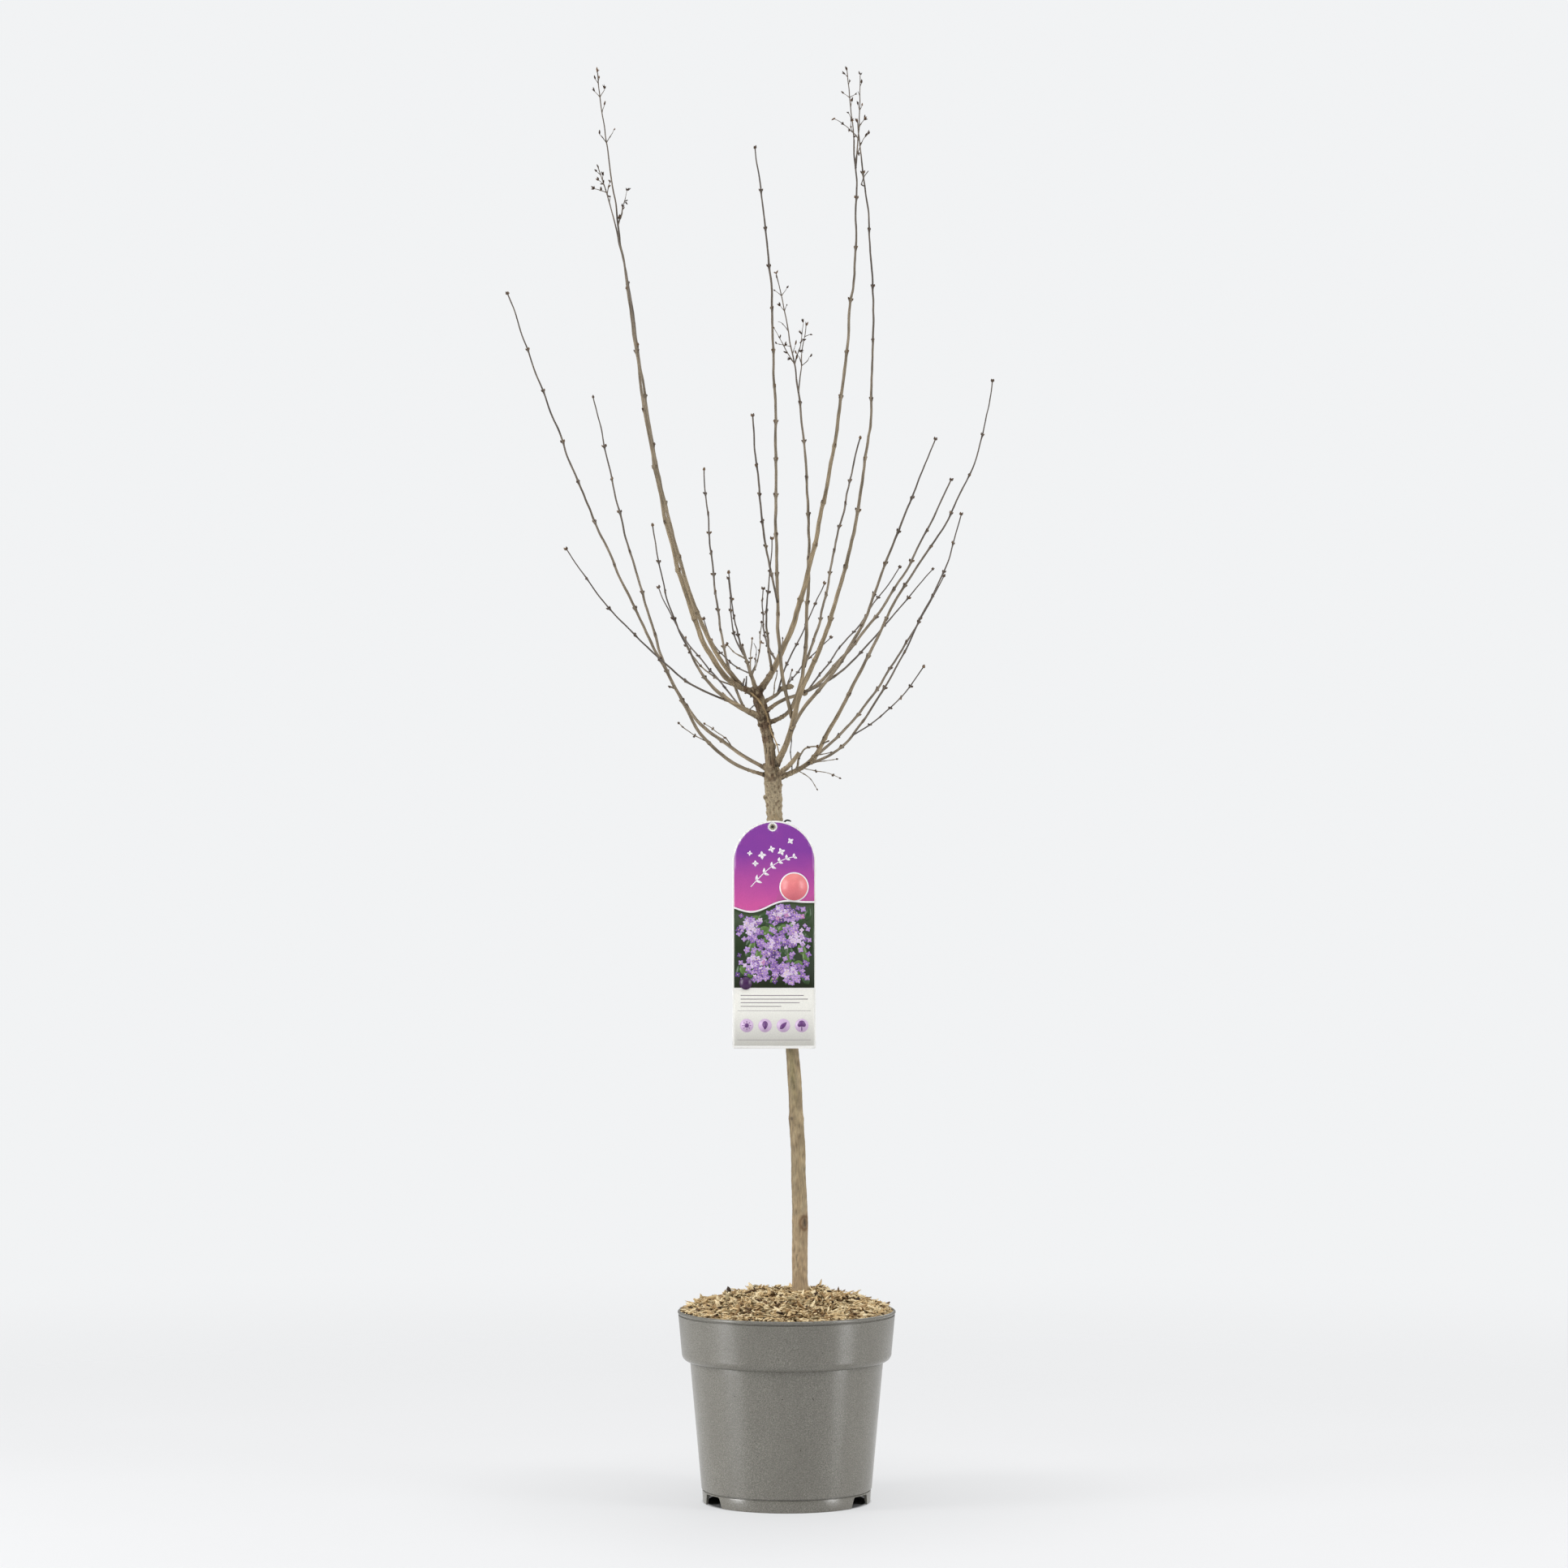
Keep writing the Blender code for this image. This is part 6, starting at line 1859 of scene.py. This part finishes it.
def build_tie():
    limb = LIMB["trunk"]
    low, high = TIE_Z
    mid = 0.5 * (low + high)
    cx = float(np.interp(mid, limb.xyz[:, 2], limb.xyz[:, 0]))
    cy = float(np.interp(mid, limb.xyz[:, 2], limb.xyz[:, 1]))
    r = float(np.interp(mid, [s[0] for s in STEM], [s[3] for s in STEM])) + 1.2
    bag = Bag()
    a = np.radians(np.linspace(-90, 270, 73))
    ring = np.stack([cx + r * np.cos(a), cy + r * np.sin(a), mid + 0.3 * np.sin(a * 2)], -1)
    nrm = np.stack([np.cos(a), np.sin(a), 0 * a], -1)
    bag.add(*strap(ring, high - low, TIE_THICK, normal=nrm))
    # the pin through the eyelet and the cross-bar in front of it
    x, z = EYELET
    face = TAG_FRONT + float(tag_bow(x, z)) - 0.9
    pin = np.array([(x, cy - r + 0.5, z), (x, face, z)])
    bag.add(*strap(spline(np.arange(2), pin)(np.linspace(0, 1, 8)), 1.5, 1.4,
                   normal=(0.0, 0.0, 1.0)))
    bar = np.array([(x - 1.5, face + 0.1, z - 0.4), (x - 0.8, face - 0.1, z - 0.2),
                    (x, face - 0.2, z), (x + 0.8, face - 0.1, z + 0.2), (x + 1.5, face + 0.1, z + 0.4)])
    bag.add(*strap(spline(np.arange(5), bar)(np.linspace(0, 4, 16)),
                   np.interp(np.linspace(0, 1, 16), (0, 0.2, 0.8, 1), (0.9, 1.5, 1.5, 0.9)), 0.8,
                   normal=(0.0, -1.0, 0.0)))
    # the loose end, which shows just over the card's right shoulder
    tail = np.array([(cx + r * 0.62, cy - r * 0.78, mid + 1.2), (cx + 8.4, cy - 6.6, mid + 4.6),
                     (cx + 11.0, cy - 7.0, mid + 6.3), (cx + 13.4, cy - 7.2, mid + 6.1),
                     (cx + 15.4, cy - 7.2, mid + 5.2)])
    curve = spline(np.arange(5), tail)(np.linspace(0, 4, 30))
    bag.add(*strap(curve, np.interp(np.linspace(0, 1, 30), (0, 0.75, 1), (1.9, 1.7, 1.0)), 0.8,
                   normal=(0.1, -1.0, 0.25)))
    add_piece("tie_strap", fixed_normals(bag.mesh("tie_strap", sharp=50)),
              moulded("tie_plastic", linear(26, 24, 26), linear(44, 42, 44), 0.45), ("tie",))


# -------------------------------------------------------------- putting it up
LIMB = {"trunk": stem_limb()}
PARENT, EXIT = {}, {}
for limb_name, on, foot, guides, depth, thick, thin, power, _ in LIMBS:
    LIMB[limb_name] = side_limb(LIMB[on], foot, guides, depth, thick, thin, power)
    PARENT[limb_name] = on
    EXIT[limb_name] = exit_of(LIMB[limb_name], LIMB[on])

SHAPED = {}          # each limb's swayed centre line, frames and radius


def build_limbs():
    old, young = bark("bark_boughs", 0.74, 0.22), bark("bark_shoots", 0.6, 0.14)
    for name, on, _, _, _, thick, thin, _, _ in LIMBS:
        limb, s_exit = LIMB[name], EXIT[name]
        end = BUD_PAIRS[name][3]
        pairs = pair_places(name, limb, s_exit)
        turn0 = 0.52 + (sum(map(ord, name)) % 7) * 0.09
        s0 = max(0.0, s_exit - 2.2)
        sides = 16 if thick > 4.0 else 14 if thick > 2.5 else 12
        data, tone, run, shape = limb_tube(name, limb, s0, s_exit, pairs, turn0,
                                           0.0, end, sides)
        verts, quads, tris = outward_tube(data)
        mesh = make_mesh(name + "_bark", verts, quads, tris, sharp=70)
        put_colours(mesh, "tone", tone)
        put_vectors(mesh, "run", run)
        add_piece(name + "_bark", mesh, old if thick > 2.4 else young,
                  (name,))
        SHAPED[name] = shape
        stations, p, along, side, over, r = shape

        def at(s, rows):
            return np.stack([np.interp(s, stations, rows[:, k]) for k in range(3)])
        seed = sum(map(ord, name))
        for n, s in enumerate(pairs):
            turn = turn0 + n * math.pi / 2 + 0.22 * math.sin(n * 2.3 + seed)
            if thick < 3 or s / limb.length > 0.22 or n % 2:
                bud_pair(at(s, p), at(s, along), at(s, side), at(s, over),
                         float(np.interp(s, stations, r)), turn,
                         size=2.45 + 0.5 * smooth(0.2, 0.9, s / limb.length),
                         spread=33.0)
        if end == "buds":
            tip_pair(p[-1], along[-1], side[-1], over[-1], turn0 + len(pairs) * math.pi / 2)
        elif end == "pods":
            hang_pods(p[-1], along[-1], 2)


def build_twigs():
    bag, tones, runs = Bag(), [], []
    rng = np.random.default_rng(91)
    for number, (name, way, lean, thick0, thick1, end, bears) in enumerate(TWIGS):
        limb = LIMB[name]
        if name == "trunk":
            s = limb.s_near(*way[0])
            start = limb.at(s)
            r_parent = float(limb.radius_at(s))
        else:
            stations, p, along, side, over, r = SHAPED[name]
            e = in_elevation(p.T)
            i = int(np.argmin((e[0] - way[0][0]) ** 2 + (e[1] - way[0][1]) ** 2))
            start, r_parent = p[i], float(r[i])
        depths = start[1] + lean * (np.arange(1, len(way)) / (len(way) - 1)) ** 0.8
        points = [start] + [np.array(in_space(x, z, d)) for (x, z), d in zip(way[1:], depths)]
        # a first step in the limb's own direction keeps the foot in its bark
        knots = np.concatenate([[0.0], np.cumsum(np.linalg.norm(np.diff(points, axis=0), axis=1))])
        if knots[-1] < 1.0:
            continue
        curve = spline(knots, points)
        n = max(6, int(knots[-1] / 1.5))
        t = np.linspace(0.0, knots[-1], n)
        c = curve(t)
        c += (smooth(2.0, 8.0, t) * 0.28)[:, None] * np.stack(
            [Waves(200 + number)(c, 14.0), Waves(300 + number)(c, 14.0), 0 * t], -1)
        rr = np.interp(t / t[-1], (0, 1), (thick0, thick1)) / 2
        rr = rr * (1 + 0.5 * np.exp(-np.clip(t - r_parent, 0, None) / 1.2))
        gap = rng.uniform(15.0, 20.0) if bears == "buds" else rng.uniform(8.0, 12.0)
        nodes = np.arange(gap * 0.7 + rng.uniform(0, 3), knots[-1] - 4.0, gap)
        for s in nodes:
            rr = rr + 0.28 * np.exp(-((t - s) / 1.2) ** 2)
        skin = np.repeat(rr[:, None], 8, 1)
        skin *= 1 + 0.07 * Waves(400 + number)(np.repeat(c, 8, 0) * 1.0
                                               + np.tile(np.eye(3)[0] * 3, (len(c) * 8, 1)), 5.0).reshape(skin.shape)
        verts, quads, tris = outward_tube(tube(c, skin, 8))
        bag.add(verts, quads, tris)
        base = STALK if end in ("pod", "pods", "heap") else THIN if end == "dry" else OLIVE
        if name == "bough_left_tall" and bears == "pod" and lean < -12:
            base = np.array(linear(158, 134, 98)[:3])
        shade = 1 + 0.16 * Waves(500 + number)(verts, 9.0)
        tones.append(base[None] * shade[:, None])
        runs.append(verts + number * 13.0)
        along, side, over = turn_frames(c)
        if end == "bud":
            one_bud(c[-1] - along[-1] * 0.5, along[-1], rng.uniform(2.5, 3.1))
        elif end == "buds":
            tip_pair(c[-1], along[-1], side[-1], over[-1], rng.uniform(0, TAU), 3.2)
        elif end in ("pod", "pods", "heap"):
            hang_pods(c[-1], along[-1], {"pod": 1, "pods": 2, "heap": 4}[end])
        for k, s in enumerate(nodes):
            i = int(np.argmin(np.abs(t - s)))
            if bears == "buds":
                bud_pair(c[i], along[i], side[i], over[i], float(rr[i]), k * math.pi / 2 + number, 2.4)
            elif bears in ("pods", "heap", "pod"):
                out = math.cos(k * 1.7 + number) * side[i] + math.sin(k * 1.7 + number) * over[i]
                hang_pods(c[i] + out * rr[i], along[i] * 0.5 + out, {"pod": 1, "pods": 2, "heap": 3}[bears], 3.6)
    mesh = bag.mesh("twigs", sharp=70)
    put_colours(mesh, "tone", np.concatenate(tones))
    put_vectors(mesh, "run", np.concatenate(runs))
    add_piece("twigs", mesh, bark("bark_twigs", 0.6, 0.3))


add_piece("pot_shell", cut_pot(), pot_plastic(), ("pot",))
add_piece("mulch_bed", mound_mesh(), mound_soil(), ("root_ball",))
litter()
stem_look = bark("bark_stem", 0.62, 0.12, 0.45)
add_piece("stem_bark", stem_skin(), stem_look, ("trunk",))
add_piece("head_bark", head_skin(), bark("bark_head", 0.78), ("trunk",))
build_limbs()
build_twigs()
buds_deep.piece("buds_deep", bud_scales("bud_deep", linear(50, 36, 26), linear(92, 70, 50)), "young_bark")
buds_warm.piece("buds_warm", bud_scales("bud_warm", linear(76, 56, 38), linear(122, 96, 66)), "young_bark")
pods_deep.piece("pods_deep", pod_skin("pod_deep", linear(38, 27, 20), linear(84, 60, 42)), "young_bark")
pods_pale.piece("pods_pale", pod_skin("pod_pale", linear(70, 48, 32), linear(132, 98, 66)), "young_bark")
build_tag()
build_tie()


# ------------------------------------------------- floor, lights and camera
BACKDROP = (0.885, 0.895, 0.905, 1.0)
FLOOR_GLOW = 0.65


def build_floor():
    """A wide pale floor that melts into the pale surround at its rim, with painted shade under and round the pot."""
    bm = bmesh.new()
    rings = []
    radii = [0.0, 0.12, 0.3, 0.6, 1.0, 1.6, 2.4, 3.6, 5.2, 7.0]
    hub = bm.verts.new((0, 0, 0))
    for r in radii[1:]:
        rings.append([bm.verts.new((r * math.cos(TAU * k / 96), r * math.sin(TAU * k / 96), 0.0))
                      for k in range(96)])
    for k in range(96):
        bm.faces.new((hub, rings[0][k], rings[0][(k + 1) % 96]))
    for low, high in zip(rings, rings[1:]):
        for k in range(96):
            j = (k + 1) % 96
            bm.faces.new((low[k], high[k], high[j], low[j]))
    me = bpy.data.meshes.new("floor")
    bm.to_mesh(me)
    bm.free()
    floor = bpy.data.objects.new("floor", me)
    bpy.context.scene.collection.objects.link(floor)
    look = Look("floor_pale", 0.85, 0.15)
    at = look.place()
    cloud = look.noise(at, 3.0, 3.0, 0.5)
    colour = look.mix(cloud, (0.175, 0.176, 0.178, 1.0), (0.19, 0.191, 0.193, 1.0))
    look.finish(colour, look.relief(look.noise(at, 60.0, 3.0), 0.03, 1.0))
    look.shader.inputs["Emission Color"].default_value = (0.985, 0.99, 1.0, 1.0)
    near = look.put("ShaderNodeVectorMath", {0: at}, operation="LENGTH").outputs["Value"]
    # painted shade: the glow is cut off right under the pot, and dimmed near it as a painted contact shadow
    under = look.span(near, 0.078, 0.084, 0.0, 1.0)
    painted_contact_shadow = look.put("ShaderNodeMapRange", {0: near, 1: 0.08, 2: 0.42, 3: 0.90, 4: 1.0},
                   interpolation_type="SMOOTHSTEP").outputs[0]
    glow = look.sums("MULTIPLY", look.sums("MULTIPLY", under, painted_contact_shadow), FLOOR_GLOW)
    look.feed(look.shader.inputs["Emission Strength"], glow)
    far = look.put("ShaderNodeVectorMath", {0: at}, operation="LENGTH").outputs["Value"]
    fade = look.put("ShaderNodeMapRange", {0: far, 1: 0.75, 2: 2.3, 3: 0.0, 4: 1.0},
                    interpolation_type="SMOOTHSTEP").outputs[0]
    clear = look.put("ShaderNodeBsdfTransparent")
    blend = look.put("ShaderNodeMixShader", {0: fade, 1: look.shader.outputs[0], 2: clear.outputs[0]})
    out = next(n for n in look.tree.nodes if n.type == "OUTPUT_MATERIAL")
    look.tree.links.new(blend.outputs[0], out.inputs["Surface"])
    me.materials.append(look.mat)
    floor.visible_shadow = False


def build_world():
    world = bpy.data.worlds.new("studio")
    bpy.context.scene.world = world
    world.use_nodes = True
    tree = world.node_tree
    tree.nodes.clear()
    put = tree.nodes.new
    path = put("ShaderNodeLightPath")
    coord = put("ShaderNodeTexCoord")
    split = put("ShaderNodeSeparateXYZ")
    tree.links.new(coord.outputs["Generated"], split.inputs[0])
    up = put("ShaderNodeMapRange")
    up.inputs[1].default_value, up.inputs[2].default_value = -0.2, 1.0
    up.inputs[3].default_value, up.inputs[4].default_value = 0.55, 1.15
    tree.links.new(split.outputs[2], up.inputs[0])
    # dimmer in front, where the camera stands, than behind and to the sides
    front = put("ShaderNodeMapRange")
    front.inputs[1].default_value, front.inputs[2].default_value = -1.0, 0.1
    front.inputs[3].default_value, front.inputs[4].default_value = 0.42, 1.0
    tree.links.new(split.outputs[1], front.inputs[0])
    both = put("ShaderNodeMath")
    both.operation = "MULTIPLY"
    tree.links.new(up.outputs[0], both.inputs[0])
    tree.links.new(front.outputs[0], both.inputs[1])
    power = put("ShaderNodeMath")
    power.operation = "MULTIPLY"
    power.inputs[1].default_value = WORLD_LIGHT
    tree.links.new(both.outputs[0], power.inputs[0])
    lit = put("ShaderNodeBackground")
    lit.inputs[0].default_value = (0.97, 0.985, 1.0, 1.0)
    tree.links.new(power.outputs[0], lit.inputs[1])
    seen = put("ShaderNodeBackground")
    seen.inputs[0].default_value = BACKDROP
    seen.inputs[1].default_value = 1.0
    mix = put("ShaderNodeMixShader")
    tree.links.new(path.outputs["Is Camera Ray"], mix.inputs[0])
    tree.links.new(lit.outputs[0], mix.inputs[1])
    tree.links.new(seen.outputs[0], mix.inputs[2])
    out = put("ShaderNodeOutputWorld")
    tree.links.new(mix.outputs[0], out.inputs[0])


def softbox(name, place, aim, width, height, watts, tint=(1.0, 1.0, 1.0)):
    light = bpy.data.lights.new(name, "AREA")
    light.shape = "RECTANGLE"
    light.size, light.size_y = width, height
    light.energy = watts
    light.color = tint
    obj = bpy.data.objects.new(name, light)
    bpy.context.scene.collection.objects.link(obj)
    obj.location = place
    obj.rotation_euler = (Vector(aim) - Vector(place)).to_track_quat("-Z", "Y").to_euler()
    obj.visible_camera = False
    return obj


WORLD_LIGHT = 0.46
build_floor()
build_world()
softbox("left_box", (-1.87, -0.70, 1.00), (0.0, 0.0, 0.55), 0.66, 1.96, 40.0)
softbox("right_box", (1.80, -0.92, 1.00), (0.0, 0.0, 0.55), 0.62, 1.96, 32.0)
softbox("top_box", (0.1, -0.2, 3.0), (0.0, 0.0, 0.3), 2.0, 2.0, 24.0)
softbox("front_box", (-0.6, -3.6, 2.4), (0.0, 0.0, 0.7), 1.6, 1.2, 12.0)
softbox("back_box", (0.5, 3.0, 1.9), (0.0, 0.0, 0.5), 1.8, 1.4, 16.0)
# low strips that only the pot takes, for the streaks down its satin wall
pot_only = bpy.data.collections.new("pot_only")
pot_only.objects.link(bpy.data.objects["pot_shell"])
for strip, turn, half, low, high, glow in (("left_streak", -63.5, 1.9, -0.145, 0.03, 30.0),
                                           ("left_sheen", -71.0, 9.0, -0.30, 0.1, 3.8),
                                           ("right_streak", 64.5, 1.9, -0.14, 0.03, 27.0),
                                           ("right_sheen", 62.0, 7.5, -0.28, 0.1, 2.4)):
    turn = math.radians(turn)
    middle = 0.5 * (low + high)
    place = (0.9 * math.sin(turn), -0.9 * math.cos(turn), middle)
    width, tall = 1.8 * math.tan(math.radians(half)), high - low
    light = softbox(strip, place, (0.0, 0.0, middle), width, tall, glow * math.pi * width * tall)
    light.light_linking.receiver_collection = pot_only

camera = bpy.data.objects.new("camera", bpy.data.cameras.new("camera"))
camera.data.sensor_width = SENSOR
camera.data.lens = SENSOR * EYE_DISTANCE / PICTURE_WIDTH
camera.data.clip_end = 60.0
camera.location = (EYE_X * MM, -EYE_DISTANCE * MM, EYE_HEIGHT * MM)
camera.rotation_euler = (math.radians(90.0), 0.0, 0.0)
bpy.context.scene.collection.objects.link(camera)
bpy.context.scene.camera = camera
bpy.context.scene.view_settings.view_transform = "Standard"
